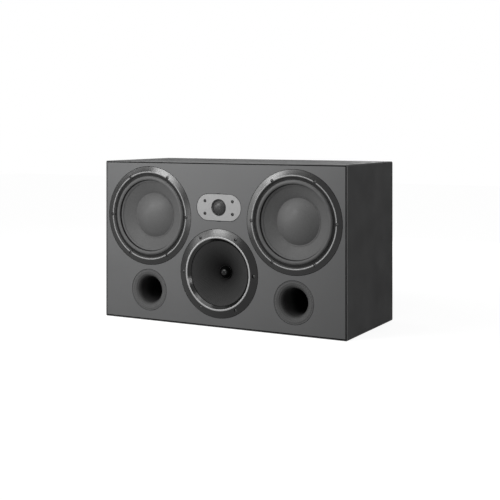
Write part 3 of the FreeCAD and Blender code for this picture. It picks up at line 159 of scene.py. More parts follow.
# Dimples in the mouths of the ports
DIMPLES_AROUND = 48
DIMPLE_PITCH = 0.0052
DIMPLE_RADIUS = 0.0019
DIMPLE_DEPTH = 0.0008
PORT_STEPS = 640
PORT_FLARE_STEP = math.radians(1.6)

# Screws
SCREW_COUNT = 6
HEAD_RADIUS = 0.0034
HEAD_HEIGHT = 0.0022
HEAD_CLEARANCE = 0.0005
CROWN_HEIGHT = 0.0011
SOCKET_SIDES = 6
SOCKET_RADIUS = 0.0014
SOCKET_DEPTH = 0.0012
SHANK_RADIUS = 0.0019
SHANK_LENGTH = 0.018
TWEETER_SCREW_X = 0.0365
TWEETER_SCREW_Z = 0.0145
TWEETER_SCREW_DEPTH = 0.0004
TRAY_SCREW_INSET = 0.0075
BOARD_SCREW_INSET = 0.006
FORWARD = Vector((0, -1, 0))
BACKWARD = Vector((0, 1, 0))
UPWARD = Vector((0, 0, 1))

# Fineness of the meshes
TURN_STEPS = 240
HEAD_STEPS = 40
SPIDER_STEPS = 120
SPIDER_ARC_STEP = math.radians(25)
ARC_STEP = math.radians(5)
CAP_ARC_STEP = math.radians(2.5)
PLUG_ARC_STEP = math.radians(2.5)
MID_CONE_ARC_STEP = math.radians(2)
PORT_FLANGE_STEPS = 10
SHARP_ANGLE = math.radians(30)
NO_RADIUS = 1e-7

# Finishes: the usual range of a pattern's values, then what single finishes need
PATTERN_LOW = 0.3
PATTERN_HIGH = 0.7
GLOSS_SCALE = 2.3
GLOSS_SPREAD = 0.12
# black used as painted shade in the cabinet's rebates and on the surrounds' rim and inner foot
PAINTED_SHADE_BLACK = 0.004
WOOFER_RING_LOOK = {"polished": 0.14, "wall": 0.05, "wall_gloss": 0.4, "specular": 0.35}
MID_RING_LOOK = {"polished": 0.2, "wall": 0.006, "wall_gloss": -0.06, "specular": 0.28}
CREST_SHADE = 0.94
CREST_DULLING = 0.22
LATHE_LINES = 30000.0
CONE_GREY = 0.077
PULP_SPREAD = 0.2
PRESS_RINGS = 900.0
PRESS_RING_SHARE = 0.15
# share of the weave's colour left at the neck under the painted shade
MID_NECK_SHADE_SHARE = 0.3
CONE_THREADS = 130.0
CONE_CHECKS = 420.0
SPIDER_THREADS = 260.0
WIRE_TURNS = 500.0
SCRATCH_SHADE = 0.92
SCRATCH_GLOSS_SPREAD = 0.15
FOAM_CELLS = 420.0

# Camera and light: a lamp's row is its place, its width and height, and its power in watts
CAMERA_PLACE = (1.16729, -2.13641, 0.45461)
CAMERA_TURN = math.radians(28.51)
CAMERA_LENS = 72.37
CAMERA_SHIFT = -0.2397
LAMP_AIM = Vector((0.0, -0.14, 0.24))
LAMPS = {
    "key": ((-0.36, -0.92, 0.59), (0.5, 0.2), 2.3),
    "spark": ((-0.46, -0.88, 0.64), (0.28, 0.1), 2.0),
    "wing": ((-0.76, -0.9, 0.53), (0.4, 0.2), 1.5),
    "strip": ((-1.1, -1.0, 0.3), (0.3, 0.6), 2.9),
    "front": ((-0.26, -0.9, 0.2), (0.26, 0.22), 0.9),
    "graze": ((0.04, -0.4, 0.68), (0.5, 0.24), 1.4),
    "roof": ((0.4, -0.6, 0.9), (0.4, 0.3), 1.1),
    "top": ((-0.3, 0.5, 1.3), (0.8, 0.4), 1.2),
    "right": ((1.14, -0.95, 0.42), (0.06, 0.3), 1.5),
    "right_rear": ((1.5, 0.7, 0.7), (0.5, 0.5), 0.9),
    "left": ((-1.5, 0.6, 0.6), (0.6, 0.5), 2.0),
    "back": ((0.0, 1.8, 0.6), (1.0, 0.5), 9.0)}
FILL_STRENGTH = 0.02
FLOOR_SIZE = 12.0
FLOOR_GREY = 0.3
FLOOR_ROUGHNESS = 0.9
FLOOR_GLOW_NEAR = 0.9
FLOOR_GLOW_FAR = 0.98
FLOOR_GLOW_START = 0.5
FLOOR_GLOW_END = 1.5


# Mesh helpers

def finished(name, mesh, material, body, slot, *nodes):
    """A finished piece: its mesh in place, its material, what it rides on and what it stands for."""
    piece = bpy.data.objects.new(name, mesh)
    bpy.context.scene.collection.objects.link(piece)
    mesh.materials.clear()
    mesh.materials.append(material)
    if body:
        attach(piece, body)
    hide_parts(*nodes)
    return piece


def smooth(mesh):
    mesh.shade_smooth()
    mesh.set_sharp_from_angle(angle=SHARP_ANGLE)
    return mesh


def arc(start, through, end, step=ARC_STEP):
    """Points after the start on the arc through three (radius, depth) points."""
    a, b, c = Vector(start), Vector(through), Vector(end)
    cross = 2 * (a.x * (b.y - c.y) + b.x * (c.y - a.y) + c.x * (a.y - b.y))
    squares = (a.length_squared, b.length_squared, c.length_squared)
    heights = (b.y - c.y, c.y - a.y, a.y - b.y)
    widths = (c.x - b.x, a.x - c.x, b.x - a.x)
    middle = Vector((sum(s * h for s, h in zip(squares, heights)) / cross,
                     sum(s * w for s, w in zip(squares, widths)) / cross))
    first, halfway, last = (math.atan2(p.y - middle.y, p.x - middle.x) for p in (a, b, c))
    sweep = (last - first) % math.tau
    if (halfway - first) % math.tau > sweep:
        sweep -= math.tau
    radius = (a - middle).length
    count = max(2, math.ceil(abs(sweep) / step))
    angles = [first + sweep * i / count for i in range(1, count + 1)]
    return [(middle.x + radius * math.cos(t), middle.y + radius * math.sin(t)) for t in angles]


def outline(points, step=ARC_STEP):
    """An outline as plain points. A four-number entry is an arc: its middle point, then its end."""
    line = [points[0]]
    for entry in points[1:]:
        if len(entry) == 4:
            line += arc(line[-1], entry[:2], entry[2:], step)
        else:
            line.append(entry)
    return line


def bulged(start, end, bulge):
    """An arc entry whose middle stands off the chord, outwards and forwards."""
    across, along = end[0] - start[0], end[1] - start[1]
    chord = math.hypot(across, along)
    return ((start[0] + end[0]) / 2 + bulge * along / chord,
            (start[1] + end[1]) / 2 - bulge * across / chord) + tuple(end)


def turned(name, line, centre, steps=TURN_STEPS):
    """A closed outline of (radius, depth) points turned about the depth axis through the centre."""
    work = bmesh.new()
    rings = []
    for radius, depth in line:
        count = 1 if radius < NO_RADIUS else steps
        ring = [work.verts.new((centre.x + radius * math.cos(math.tau * i / steps), FACE_Y + depth,
                                centre.z + radius * math.sin(math.tau * i / steps)))
                for i in range(count)]
        rings.append(ring)
    for ring, after in zip(rings, rings[1:] + rings[:1]):
        for i in range(steps):
            j = (i + 1) % steps
            corners = [ring[i % len(ring)], ring[j % len(ring)], after[j % len(after)], after[i % len(after)]]
            corners = list(dict.fromkeys(corners))
            if len(corners) > 2:
                work.faces.new(corners)
    bmesh.ops.recalc_face_normals(work, faces=work.faces)
    mesh = bpy.data.meshes.new(name)
    work.to_mesh(mesh)
    work.free()
    return smooth(mesh)


def circle_places(centre, radius, depth, count=SCREW_COUNT):
    """Evenly spaced places round a circle, at a depth behind the face."""
    turns = [math.tau * i / count for i in range(count)]
    return [Vector((centre.x + radius * math.cos(t), FACE_Y + depth, centre.z + radius * math.sin(t)))
            for t in turns]


def evaluated(holder):
    """The mesh that an object's modifiers give, and the object gone."""
    graph = bpy.context.evaluated_depsgraph_get()
    mesh = bpy.data.meshes.new_from_object(holder.evaluated_get(graph))
    bpy.data.objects.remove(holder)
    return mesh


def holder_of(mesh):
    holder = bpy.data.objects.new(mesh.name, mesh)
    bpy.context.scene.collection.objects.link(holder)
    return holder


def counterbored(mesh, seats):
    """A turned ring with a round pocket for each screw head, open towards the front."""
    work = bmesh.new()
    for seat in seats:
        bmesh.ops.create_cone(work, cap_ends=True, segments=HEAD_STEPS, depth=SHANK_LENGTH,
                              radius1=HEAD_RADIUS + HEAD_CLEARANCE, radius2=HEAD_RADIUS + HEAD_CLEARANCE,
                              matrix=Matrix.Translation(seat + FORWARD * SHANK_LENGTH / 2)
                              @ Matrix.Rotation(math.pi / 2, 4, "X"))
    cutter_mesh = bpy.data.meshes.new("head_pockets")
    work.to_mesh(cutter_mesh)
    work.free()
    cutter = holder_of(cutter_mesh)
    holder = holder_of(mesh)
    cut = holder.modifiers.new("pockets", "BOOLEAN")
    cut.operation = "DIFFERENCE"
    cut.solver = "EXACT"
    cut.object = cutter
    result = evaluated(holder)
    bpy.data.objects.remove(cutter)
    return smooth(result)


# Node helpers

class Nodes:
    """A node tree that is filled by short calls."""

    def __init__(self, tree):
        self.tree = tree

    def add(self, kind, inputs=(), output=0, **attributes):
        """A node with its settings and inputs, as one of its outputs."""
        node = self.tree.nodes.new(kind)
        for word, value in attributes.items():
            setattr(node, word, value)
        for word, value in dict(inputs).items():
            if isinstance(value, bpy.types.NodeSocket):
                self.tree.links.new(value, node.inputs[word])
            else:
                node.inputs[word].default_value = value
        return node.outputs[output]

    def maths(self, first, operation, second=0.0):
        return self.add("ShaderNodeMath", {0: first, 1: second}, operation=operation)


class Tree(Nodes):
    """A Geometry Nodes tree with named inputs, whose result is turned into a plain mesh."""

    def __init__(self, name, lengths, counts=()):
        super().__init__(bpy.data.node_groups.new(name, "GeometryNodeTree"))
        face = self.tree.interface
        face.new_socket("Geometry", in_out="INPUT", socket_type="NodeSocketGeometry")
        self.inputs = {}
        for word in lengths:
            self.inputs[word] = face.new_socket(word, in_out="INPUT", socket_type="NodeSocketFloat")
        for word in counts:
            self.inputs[word] = face.new_socket(word, in_out="INPUT", socket_type="NodeSocketInt")
        self.inputs["Material"] = face.new_socket("Material", in_out="INPUT",
                                                  socket_type="NodeSocketMaterial")
        face.new_socket("Geometry", in_out="OUTPUT", socket_type="NodeSocketGeometry")
        self.group_in = self.tree.nodes.new("NodeGroupInput")
        self.group_out = self.tree.nodes.new("NodeGroupOutput")

    def given(self, word):
        return self.group_in.outputs[word]

    def vector(self, x=0.0, y=0.0, z=0.0):
        return self.add("ShaderNodeCombineXYZ", {"X": x, "Y": y, "Z": z})

    def moved(self, geometry, height):
        return self.add("GeometryNodeTransform", {"Geometry": geometry, "Translation": self.vector(z=height)})

    def close(self, geometry):
        real = self.add("GeometryNodeRealizeInstances", {"Geometry": geometry})
        coloured = self.add("GeometryNodeSetMaterial", {"Geometry": real, "Material": self.given("Material")})
        self.tree.links.new(coloured, self.group_out.inputs["Geometry"])

    def applied(self, mesh, **values):
        """The mesh that the tree makes of another, with its inputs set by their identifiers."""
        holder = holder_of(mesh)
        modifier = holder.modifiers.new(self.tree.name, "NODES")
        modifier.node_group = self.tree
        for word, value in values.items():
            modifier[self.inputs[word.replace("_", " ").capitalize()].identifier] = value
        return smooth(evaluated(holder))


def screw_tree():
    """A pan-head socket screw at every point, its head towards the point's own facing."""
    tree = Tree("socket_screws", ("Head radius", "Head height", "Crown height", "Socket radius",
                                  "Socket depth", "Shank radius", "Shank length"), ("Head steps",))
    head_radius, head_height = tree.given("Head radius"), tree.given("Head height")
    crown = tree.given("Crown height")
    shank_length = tree.given("Shank length")
    steps = tree.given("Head steps")
    squares = tree.maths(tree.maths(head_radius, "MULTIPLY", head_radius), "ADD",
                         tree.maths(crown, "MULTIPLY", crown))
    crown_sphere = tree.maths(squares, "DIVIDE", tree.maths(crown, "MULTIPLY", 2.0))
    ball = tree.add("GeometryNodeMeshUVSphere", {"Segments": steps, "Rings": steps, "Radius": crown_sphere})
    ball = tree.moved(ball, tree.maths(head_height, "SUBTRACT", crown_sphere))
    blank = tree.add("GeometryNodeMeshCylinder", {"Vertices": steps, "Radius": head_radius,
                                                  "Depth": head_height})
    blank = tree.moved(blank, tree.maths(head_height, "MULTIPLY", 0.5))
    head = tree.add("GeometryNodeMeshBoolean", {"Mesh 2": blank}, operation="INTERSECT")
    tree.tree.links.new(ball, head.node.inputs["Mesh 2"])
    key_length = tree.maths(tree.given("Socket depth"), "MULTIPLY", 2.0)
    key = tree.add("GeometryNodeMeshCylinder", {"Vertices": SOCKET_SIDES, "Depth": key_length,
                                                "Radius": tree.given("Socket radius")})
    socketed = tree.add("GeometryNodeMeshBoolean", {"Mesh 1": head, "Mesh 2": tree.moved(key, head_height)},
                        operation="DIFFERENCE")
    shank = tree.add("GeometryNodeMeshCylinder", {"Vertices": steps, "Radius": tree.given("Shank radius"),
                                                  "Depth": shank_length})
    screw = tree.add("GeometryNodeJoinGeometry", {"Geometry": socketed})
    tree.tree.links.new(tree.moved(shank, tree.maths(shank_length, "MULTIPLY", -0.5)),
                        screw.node.inputs["Geometry"])
    facing = tree.add("GeometryNodeInputNamedAttribute", {"Name": "facing"}, data_type="FLOAT_VECTOR")
    turn = tree.add("FunctionNodeAlignRotationToVector", {"Vector": facing}, axis="Z")
    placed = tree.add("GeometryNodeInstanceOnPoints", {"Points": tree.given("Geometry"), "Instance": screw,
                                                       "Rotation": turn})
    tree.close(placed)
    return tree


def dimple_tree():
    """Shallow round dimples in staggered rows, pressed in along the surface's own normal."""
    tree = Tree("port_dimples", ("Pitch", "Dimple radius", "Dimple depth"))
    row = tree.add("GeometryNodeInputNamedAttribute", {"Name": "dimple_row"}, data_type="FLOAT")
    turn = tree.add("GeometryNodeInputNamedAttribute", {"Name": "dimple_turn"}, data_type="FLOAT")
    girth = tree.add("GeometryNodeInputNamedAttribute", {"Name": "dimple_girth"}, data_type="FLOAT")
    stagger = tree.maths(tree.maths(tree.maths(row, "FLOOR"), "MODULO", 2.0), "MULTIPLY", 0.5)
    across = tree.maths(tree.maths(tree.maths(turn, "ADD", stagger), "FRACT"), "SUBTRACT", 0.5)
    along = tree.maths(tree.maths(row, "FRACT"), "SUBTRACT", 0.5)
    offset = tree.vector(tree.maths(across, "MULTIPLY", girth),
                         tree.maths(along, "MULTIPLY", tree.given("Pitch")))
    reach = tree.add("ShaderNodeVectorMath", {0: offset}, output=1, operation="LENGTH")
    share = tree.maths(reach, "DIVIDE", tree.given("Dimple radius"))
    hollow = tree.maths(tree.maths(1.0, "SUBTRACT", tree.maths(share, "MULTIPLY", share)), "MAXIMUM", 0.0)
    inside = tree.maths(row, "GREATER_THAN", 0.0)
    depth = tree.maths(tree.maths(hollow, "MULTIPLY", inside), "MULTIPLY", tree.given("Dimple depth"))
    press = tree.add("ShaderNodeVectorMath", {0: tree.add("GeometryNodeInputNormal"),
                                              3: tree.maths(depth, "MULTIPLY", -1.0)}, operation="SCALE")
    tree.close(tree.add("GeometryNodeSetPosition", {"Geometry": tree.given("Geometry"), "Offset": press}))
    return tree


# Materials

def grey(level, warmth=0.0):
    """A grey of a linear level, a little warm or cool."""
    return (level * (1 + warmth), level, level * (1 - warmth), 1.0)


def shade(colour, factor):
    """The same colour, darker or lighter."""
    return tuple(part * factor for part in colour[:3]) + (1.0,)


class Finish(Nodes):
    """A procedural material whose pattern lies on Object coordinates."""

    def __init__(self, name, settings, centre=(0.0, 0.0, 0.0)):
        self.material = bpy.data.materials.new(name)
        self.material.use_nodes = True
        super().__init__(self.material.node_tree)
        self.shader = self.tree.nodes["Principled BSDF"]
        for word, value in settings.items():
            self.shader.inputs[word].default_value = value
        coordinates = self.tree.nodes.new("ShaderNodeTexCoord")
        self.place = self.add("ShaderNodeMapping", {"Vector": coordinates.outputs["Object"],
                                                    "Location": -Vector(centre)})

    def give(self, word, value):
        self.tree.links.new(value, self.shader.inputs[word])

    def noise(self, scale, detail=2.0, stretch=(1.0, 1.0, 1.0)):
        stretched = self.add("ShaderNodeMapping", {"Vector": self.place, "Scale": stretch})
        return self.add("ShaderNodeTexNoise", {"Vector": stretched, "Scale": scale, "Detail": detail})

    def bands(self, scale, direction, distortion=0.0):
        return self.add("ShaderNodeTexWave", {"Vector": self.place, "Scale": scale, "Distortion": distortion},
                        bands_direction=direction)

    def between(self, value, low, high, from_low=PATTERN_LOW, from_high=PATTERN_HIGH):
        """A number that runs from low to high as a pattern's value goes through its own range."""
        return self.add("ShaderNodeMapRange", {"Value": value, "From Min": from_low, "From Max": from_high,
                                               "To Min": low, "To Max": high})

    def shaded(self, value, dark, light, from_low=PATTERN_LOW, from_high=PATTERN_HIGH):
        """A colour that runs from dark to light as a pattern's value goes through its own range."""
        output = self.add("ShaderNodeValToRGB", {"Fac": value})
        ends = output.node.color_ramp.elements
        for end, position, colour in zip(ends, (from_low, from_high), (dark, light)):
            end.position = position
            end.color = colour
        return output

    def mixed(self, share, first, second):
        return self.add("ShaderNodeMixRGB", {"Fac": share, "Color1": first, "Color2": second})

    def depth(self):
        return self.add("ShaderNodeSeparateXYZ", {"Vector": self.place}, output=1)

    def radius(self):
        """Distance from the depth axis through the material's centre."""
        flat = self.add("ShaderNodeVectorMath", {0: self.place, 1: (1.0, 0.0, 1.0)}, operation="MULTIPLY")
        return self.add("ShaderNodeVectorMath", {0: flat}, output=1, operation="LENGTH")

    def bump(self, height, distance, strength=1.0):
        self.give("Normal", self.add("ShaderNodeBump", {"Height": height, "Distance": distance,
                                                        "Strength": strength}))


def mottle(finish, colour, roughness, scale=40.0, spread=0.06, grain=900.0, relief=0.00004):
    """Gloss and fine grain that vary a little over the surface, and the colour that goes with them."""
    cloud = finish.noise(scale, detail=3.0)
    finish.give("Roughness", finish.between(finish.noise(scale * GLOSS_SCALE), roughness * (1 - GLOSS_SPREAD),
                                            roughness * (1 + GLOSS_SPREAD)))
    finish.bump(finish.noise(grain, detail=3.0), relief)
    return finish.shaded(cloud, shade(colour, 1 - spread), shade(colour, 1 + spread))


def mottled(name, colour, roughness, settings, **pattern):
    """A plain finish whose colour, gloss and fine grain vary a little."""
    finish = Finish(name, settings)
    finish.give("Base Color", mottle(finish, colour, roughness, **pattern))
    return finish.material


def cabinet_lacquer():
    """Satin grey lacquer, with painted shade: black in the rebates round the front and its openings, where
    the gaps lie in shade.
    """
    finish = Finish("cabinet_lacquer", {"Specular IOR Level": 0.025})
    lacquer = mottle(finish, grey(0.135, -0.006), 0.58, scale=7.0, spread=0.03, grain=1500.0, relief=0.00003)
    across, behind, up = finish.add("ShaderNodeSeparateXYZ", {"Vector": finish.place}).node.outputs
    beside = finish.maths(finish.maths(across, "ABSOLUTE"), "SUBTRACT", HALF_WIDTH)
    above = finish.maths(finish.maths(up, "SUBTRACT", HEIGHT), "MAXIMUM", finish.maths(up, "MULTIPLY", -1.0))
    inside = finish.maths(finish.maths(beside, "MAXIMUM", above), "LESS_THAN", -PAINTED_SHADE_INSET)
    deep = finish.maths(behind, "GREATER_THAN", FACE_Y + PAINTED_SHADE_FRONT)
    shallow = finish.maths(behind, "LESS_THAN", FACE_Y + PAINTED_SHADE_BACK)
    rebate_shade = finish.maths(finish.maths(inside, "MULTIPLY", deep), "MULTIPLY", shallow)
    # painted shade: the rebate mask turns the lacquer black where the gaps lie in shade
    finish.give("Base Color", finish.mixed(rebate_shade, lacquer, grey(PAINTED_SHADE_BLACK)))
    return finish.material


def fibreboard():
    return mottled("fibreboard", (0.45, 0.32, 0.2, 1.0), 0.85, {"Specular IOR Level": 0.1},
                   scale=260.0, spread=0.2, grain=800.0, relief=0.0001)


def ring_finish(name, centre, crest_inner, crest_outer, polished, wall, wall_gloss, specular):
    """Dark satin ring: a bright turned crest between two radii, a wall of its own gloss inside it."""
    finish = Finish(name, {"Specular IOR Level": specular}, centre)
    radius = finish.radius()
    inside = finish.maths(radius, "LESS_THAN", crest_inner)
    crest = finish.maths(finish.maths(radius, "LESS_THAN", crest_outer), "SUBTRACT", inside)
    cloud = finish.noise(scale=18.0)
    satin = finish.shaded(cloud, grey(0.006), grey(0.009))
    metal = finish.shaded(cloud, grey(polished * CREST_SHADE), grey(polished))
    outside = finish.mixed(crest, satin, metal)
    finish.give("Base Color", finish.mixed(inside, outside, grey(wall)))
    finish.give("Metallic", crest)
    gloss = finish.between(cloud, low=0.21, high=0.235)
    wall_change = finish.maths(inside, "MULTIPLY", wall_gloss)
    crest_change = finish.maths(crest, "MULTIPLY", CREST_DULLING)
    change = finish.maths(wall_change, "ADD", crest_change)
    finish.give("Roughness", finish.maths(gloss, "ADD", change))
    lathe = finish.maths(finish.maths(radius, "MULTIPLY", LATHE_LINES), "SINE")
    finish.bump(lathe, distance=0.000002, strength=0.04)
    return finish.material


def rolled_rubber(name, centre, rim, foot):
    """Matt rubber, grey with use, with painted shade: black on the rim outside a radius, where it lies in
    shade under the ring, and in the gutter at the inner foot.
    """
    finish = Finish(name, {"Specular IOR Level": 0.15}, centre)
    cloud = finish.noise(scale=90.0, detail=3.0)
    roll = finish.shaded(cloud, grey(0.085), grey(0.1))
    radius = finish.radius()
    foot_shade = finish.add("ShaderNodeMath", {0: radius, 1: foot, 2: ROLL_FOOT_SHADE_WIDTH / 2}, operation="COMPARE")
    # painted shade: black outside the roll's rim and in the gutter at its foot
    rim_and_foot_shade = finish.maths(finish.maths(radius, "GREATER_THAN", rim), "MAXIMUM", foot_shade)
    finish.give("Base Color", finish.mixed(rim_and_foot_shade, roll, grey(PAINTED_SHADE_BLACK)))
    finish.give("Roughness", finish.between(cloud, low=0.45, high=0.58))
    finish.bump(finish.noise(scale=1800.0, detail=3.0), distance=0.00003)
    return finish.material


def port_moulding():
    """Grey moulded plastic, painted with the front, with painted shade that goes over into black with depth
    inside the flare.
    """
    finish = Finish("port_moulding", {"Specular IOR Level": 0.12})
    paint = mottle(finish, grey(0.088), 0.5, scale=60.0)
    flare_shade = finish.between(finish.depth(), 0.0, 1.0, FACE_Y + PORT_SHADE_START, FACE_Y + PORT_SHADE_END)
    # painted shade: black with depth inside the flare
    finish.give("Base Color", finish.mixed(flare_shade, paint, grey(0.03)))
    return finish.material


def cone_pulp(name, level, centre):
    """Pressed paper pulp: short fibres, a dull sheen, faint rings from the press."""
    finish = Finish(name, {"Specular IOR Level": 0.25, "Sheen Weight": 0.12, "Sheen Roughness": 0.5}, centre)
    fibres = finish.noise(scale=520.0, detail=5.0, stretch=(1.0, 1.0, 2.4))
    finish.give("Base Color", finish.shaded(fibres, grey(level * (1 - PULP_SPREAD)),
                                             grey(level * (1 + PULP_SPREAD))))
    finish.give("Roughness", finish.between(finish.noise(scale=60.0), low=0.42, high=0.56))
    rings = finish.maths(finish.maths(finish.radius(), "MULTIPLY", PRESS_RINGS), "SINE")
    relief = finish.maths(fibres, "ADD", finish.maths(rings, "MULTIPLY", PRESS_RING_SHARE))
    finish.bump(relief, distance=0.00007, strength=0.7)
    return finish.material


def cone_weave(centre):
    """Dark woven cloth, over and under in turn, with painted shade: darker towards the neck, deep in the
    cone.
    """
    finish = Finish("cone_weave", {"Specular IOR Level": 0.02}, centre)
    warp, weft = (finish.bands(CONE_THREADS, direction) for direction in ("X", "Z"))
    checks = finish.add("ShaderNodeTexChecker", {"Vector": finish.place, "Scale": CONE_CHECKS}, output=1)
    cloth = finish.mixed(checks, warp, weft)
    # painted shade: the weave darkens towards the neck, deep in the cone
    neck_shade = finish.between(finish.radius(), MID_NECK_SHADE_SHARE, 1.0, MID_NECK, MID_CONE)
    threads = finish.shaded(cloth, grey(0.026), grey(0.058), from_low=0.1, from_high=0.9)
    finish.give("Base Color", finish.mixed(neck_shade, grey(0.001), threads))
    finish.give("Roughness", finish.between(cloth, low=0.5, high=0.34, from_low=0.0, from_high=1.0))
    finish.bump(cloth, distance=0.0001, strength=0.6)
    return finish.material


def brushed(name, colour, roughness, settings, stretch):
    """Metal with fine straight scratches along one direction."""
    finish = Finish(name, settings)
    scratches = finish.noise(scale=300.0, detail=4.0, stretch=stretch)
    finish.give("Base Color", finish.shaded(scratches, shade(colour, SCRATCH_SHADE), colour))
    finish.give("Roughness", finish.between(scratches, roughness * (1 - SCRATCH_GLOSS_SPREAD),
                                            roughness * (1 + SCRATCH_GLOSS_SPREAD)))
    finish.bump(scratches, distance=0.00002, strength=0.5)
    return finish.material


def wound_copper():
    """Enamelled copper wire, turn beside turn, behind a black former."""
    finish = Finish("wound_copper", {"Specular IOR Level": 0.3}, (0.0, FACE_Y + WINDING_FRONT, 0.0))
    turns = finish.bands(WIRE_TURNS, "DIAGONAL", distortion=0.6)
    winding = finish.maths(finish.depth(), "GREATER_THAN", 0.0)
    copper = finish.shaded(turns, (0.3, 0.11, 0.05, 1.0), (0.66, 0.3, 0.15, 1.0),
                           from_low=0.1, from_high=0.9)
    finish.give("Base Color", finish.mixed(winding, grey(0.012), copper))
    finish.give("Metallic", winding)
    finish.give("Roughness", finish.between(turns, low=0.42, high=0.28, from_low=0.0, from_high=1.0))
    finish.bump(turns, distance=0.0002)
    return finish.material


def open_cell_foam():
    finish = Finish("open_cell_foam", {"Specular IOR Level": 0.1})
    cells = finish.add("ShaderNodeTexVoronoi", {"Vector": finish.place, "Scale": FOAM_CELLS})
    finish.give("Base Color", finish.shaded(cells, grey(0.02), grey(0.07), from_low=0.1))
    finish.give("Roughness", finish.between(cells, low=0.85, high=0.98, from_low=0.0, from_high=1.0))
    finish.bump(cells, distance=0.0008)
    return finish.material


def spider_cloth():
    """Open cotton weave, stiffened with resin."""
    finish = Finish("spider_cloth", {"Sheen Weight": 0.2})
    warp, weft = (finish.bands(SPIDER_THREADS, direction) for direction in ("X", "Z"))
    cloth = finish.maths(warp, "MAXIMUM", weft)
    cotton = finish.shaded(cloth, (0.25, 0.16, 0.06, 1.0), (0.55, 0.38, 0.17, 1.0), from_high=0.9)
    finish.give("Base Color", cotton)
    finish.give("Roughness", finish.between(cloth, low=0.95, high=0.8, from_low=0.0, from_high=1.0))
    finish.bump(cloth, distance=0.0003)
    return finish.material


def slot_materials():
    """One finish for each material slot of the record."""
    plastic = {"Specular IOR Level": 0.4}
    dull = {"Specular IOR Level": 0.15}
    metal = {"Metallic": 1.0}
    return {
        "cabinet_finish": cabinet_lacquer(),
        "back_finish": mottled("back_lacquer", grey(0.03), 0.6, dull, scale=12.0, grain=1200.0),
        "plain_board": fibreboard(),
        "lining_foam": open_cell_foam(),
        "inner_plastic": mottled("inner_plastic", grey(0.03), 0.55, plastic),
        "ring_metal": mottled("ring_blank", grey(0.05), 0.35, plastic),
        "chassis_metal": mottled("cast_alloy", grey(0.07), 0.5, dull, grain=1100.0, relief=0.00008),
        "surround_rubber": mottled("rubber_blank", grey(0.06), 0.5, dull),
        "woofer_cone": mottled("cone_blank", grey(0.085), 0.5, dull),
        "woofer_cap": mottled("cap_blank", grey(0.085), 0.5, dull),
        "spider_cloth": spider_cloth(),
        "coil_copper": wound_copper(),
        "motor_steel": brushed("plated_steel", grey(0.6, 0.02), 0.35, metal, (1.0, 8.0, 1.0)),
        "magnet_ferrite": mottled("magnet_ferrite", grey(0.03), 0.6, dull, grain=700.0, relief=0.0001),
        "mid_weave": cone_weave(centre_of("midrange_cone")),
        "plug_metal": mottled("plug_lacquer", grey(0.002), 0.06, {"Specular IOR Level": 0.25},
                              relief=0.000001),
        "faceplate_metal": mottled("blasted_faceplate", grey(0.265), 0.42, {"Specular IOR Level": 0.3},
                                   scale=120.0, spread=0.04, grain=2600.0, relief=0.00004),
        "guard_mesh": mottled("guard_lacquer", grey(0.03), 0.38, {"Specular IOR Level": 0.4}, relief=0.00001),
        "dome_cloth": mottled("coated_silk", grey(0.03), 0.5, dull, scale=300.0, grain=2400.0,
                              relief=0.00006),
        "port_plastic": port_moulding(),
        "tray_plastic": mottled("tray_plastic", grey(0.025), 0.5, plastic, grain=1300.0, relief=0.00008),
        "post_brass": brushed("post_brass", (0.8, 0.58, 0.22, 1.0), 0.25, metal, (1.0, 9.0, 1.0)),
        "cap_black": mottled("cap_black", grey(0.02), 0.35, plastic),
        "cap_red": mottled("cap_red", (0.45, 0.02, 0.015, 1.0), 0.35, plastic),
        "screw_black": mottled("blackened_screw", grey(0.02), 0.35, {"Metallic": 0.4}, scale=300.0),
        "capacitor_film": mottled("capacitor_film", (0.05, 0.12, 0.3, 1.0), 0.3, plastic),
        "resistor_ceramic": mottled("resistor_ceramic", (0.62, 0.58, 0.5, 1.0), 0.8, dull, grain=600.0,
                                    relief=0.0001)}


def dress_solids(materials):
    """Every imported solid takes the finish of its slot."""
    slots = {piece["node"]: piece["material_slot"] for piece in frame["record"]["subparts"]}
    for name, node in frame["nodes"].items():
        node.data.materials.clear()
        node.data.materials.append(materials[slots[name]])


# Soft pieces that give with a cone

def bend(piece, share_of):
    """How far each point of a blended piece goes with the moving body, from its place."""
    weights = piece.data.attributes["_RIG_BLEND"].data
    for vertex, weight in zip(piece.data.vertices, weights):
        weight.value = share_of(vertex.co)


def inward(centre, still, moving):
    """All round: points outside one radius stay with the cabinet, those inside another go with the cone."""
    def share_of(place):
        reach = math.hypot(place.x - centre.x, place.z - centre.z)
        share = min(1.0, max(0.0, (still - reach) / (still - moving)))
        return share * share * (3 - 2 * share)
    return share_of


def spider(driver, bore, waves, wave_height, material):
    """A corrugated cloth disc: its rim stays on the chassis, its bore goes with the voice coil."""
    node = f"{driver}_spider"
    centre = centre_of(node)
    radius = radius_of(node)
    depth = depths_of(node)[1] - wave_height / 2
    face = depth - SPIDER_WALL
    first, last = bore + SPIDER_FLAT, radius - SPIDER_FLAT
    half_wave = (last - first) / (2 * waves)
    begins = [first + half_wave * i for i in range(2 * waves)]
    rises = [wave_height / 2 if i % 2 == 0 else -wave_height / 2 for i in range(2 * waves)]
    there = [(begin + half_wave / 2, depth + rise, begin + half_wave, depth)
             for begin, rise in zip(begins, rises)]
    back_again = [(begin + half_wave / 2, face + rise, begin, face)
                  for begin, rise in zip(reversed(begins), reversed(rises))]
    line = outline([(bore, depth), (first, depth)] + there + [(radius, depth), (radius, face), (last, face)]
                   + back_again + [(bore, face)], SPIDER_ARC_STEP)
    piece = finished(f"{node}_corrugated", turned(node, line, centre, SPIDER_STEPS), material, None,
                     "spider_cloth", node)
    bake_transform(piece, "cabinet", f"{driver}_motion", centre + Vector((last, 0, 0)),
             centre + Vector((first, 0, 0)))
    bend(piece, inward(centre, last, first))


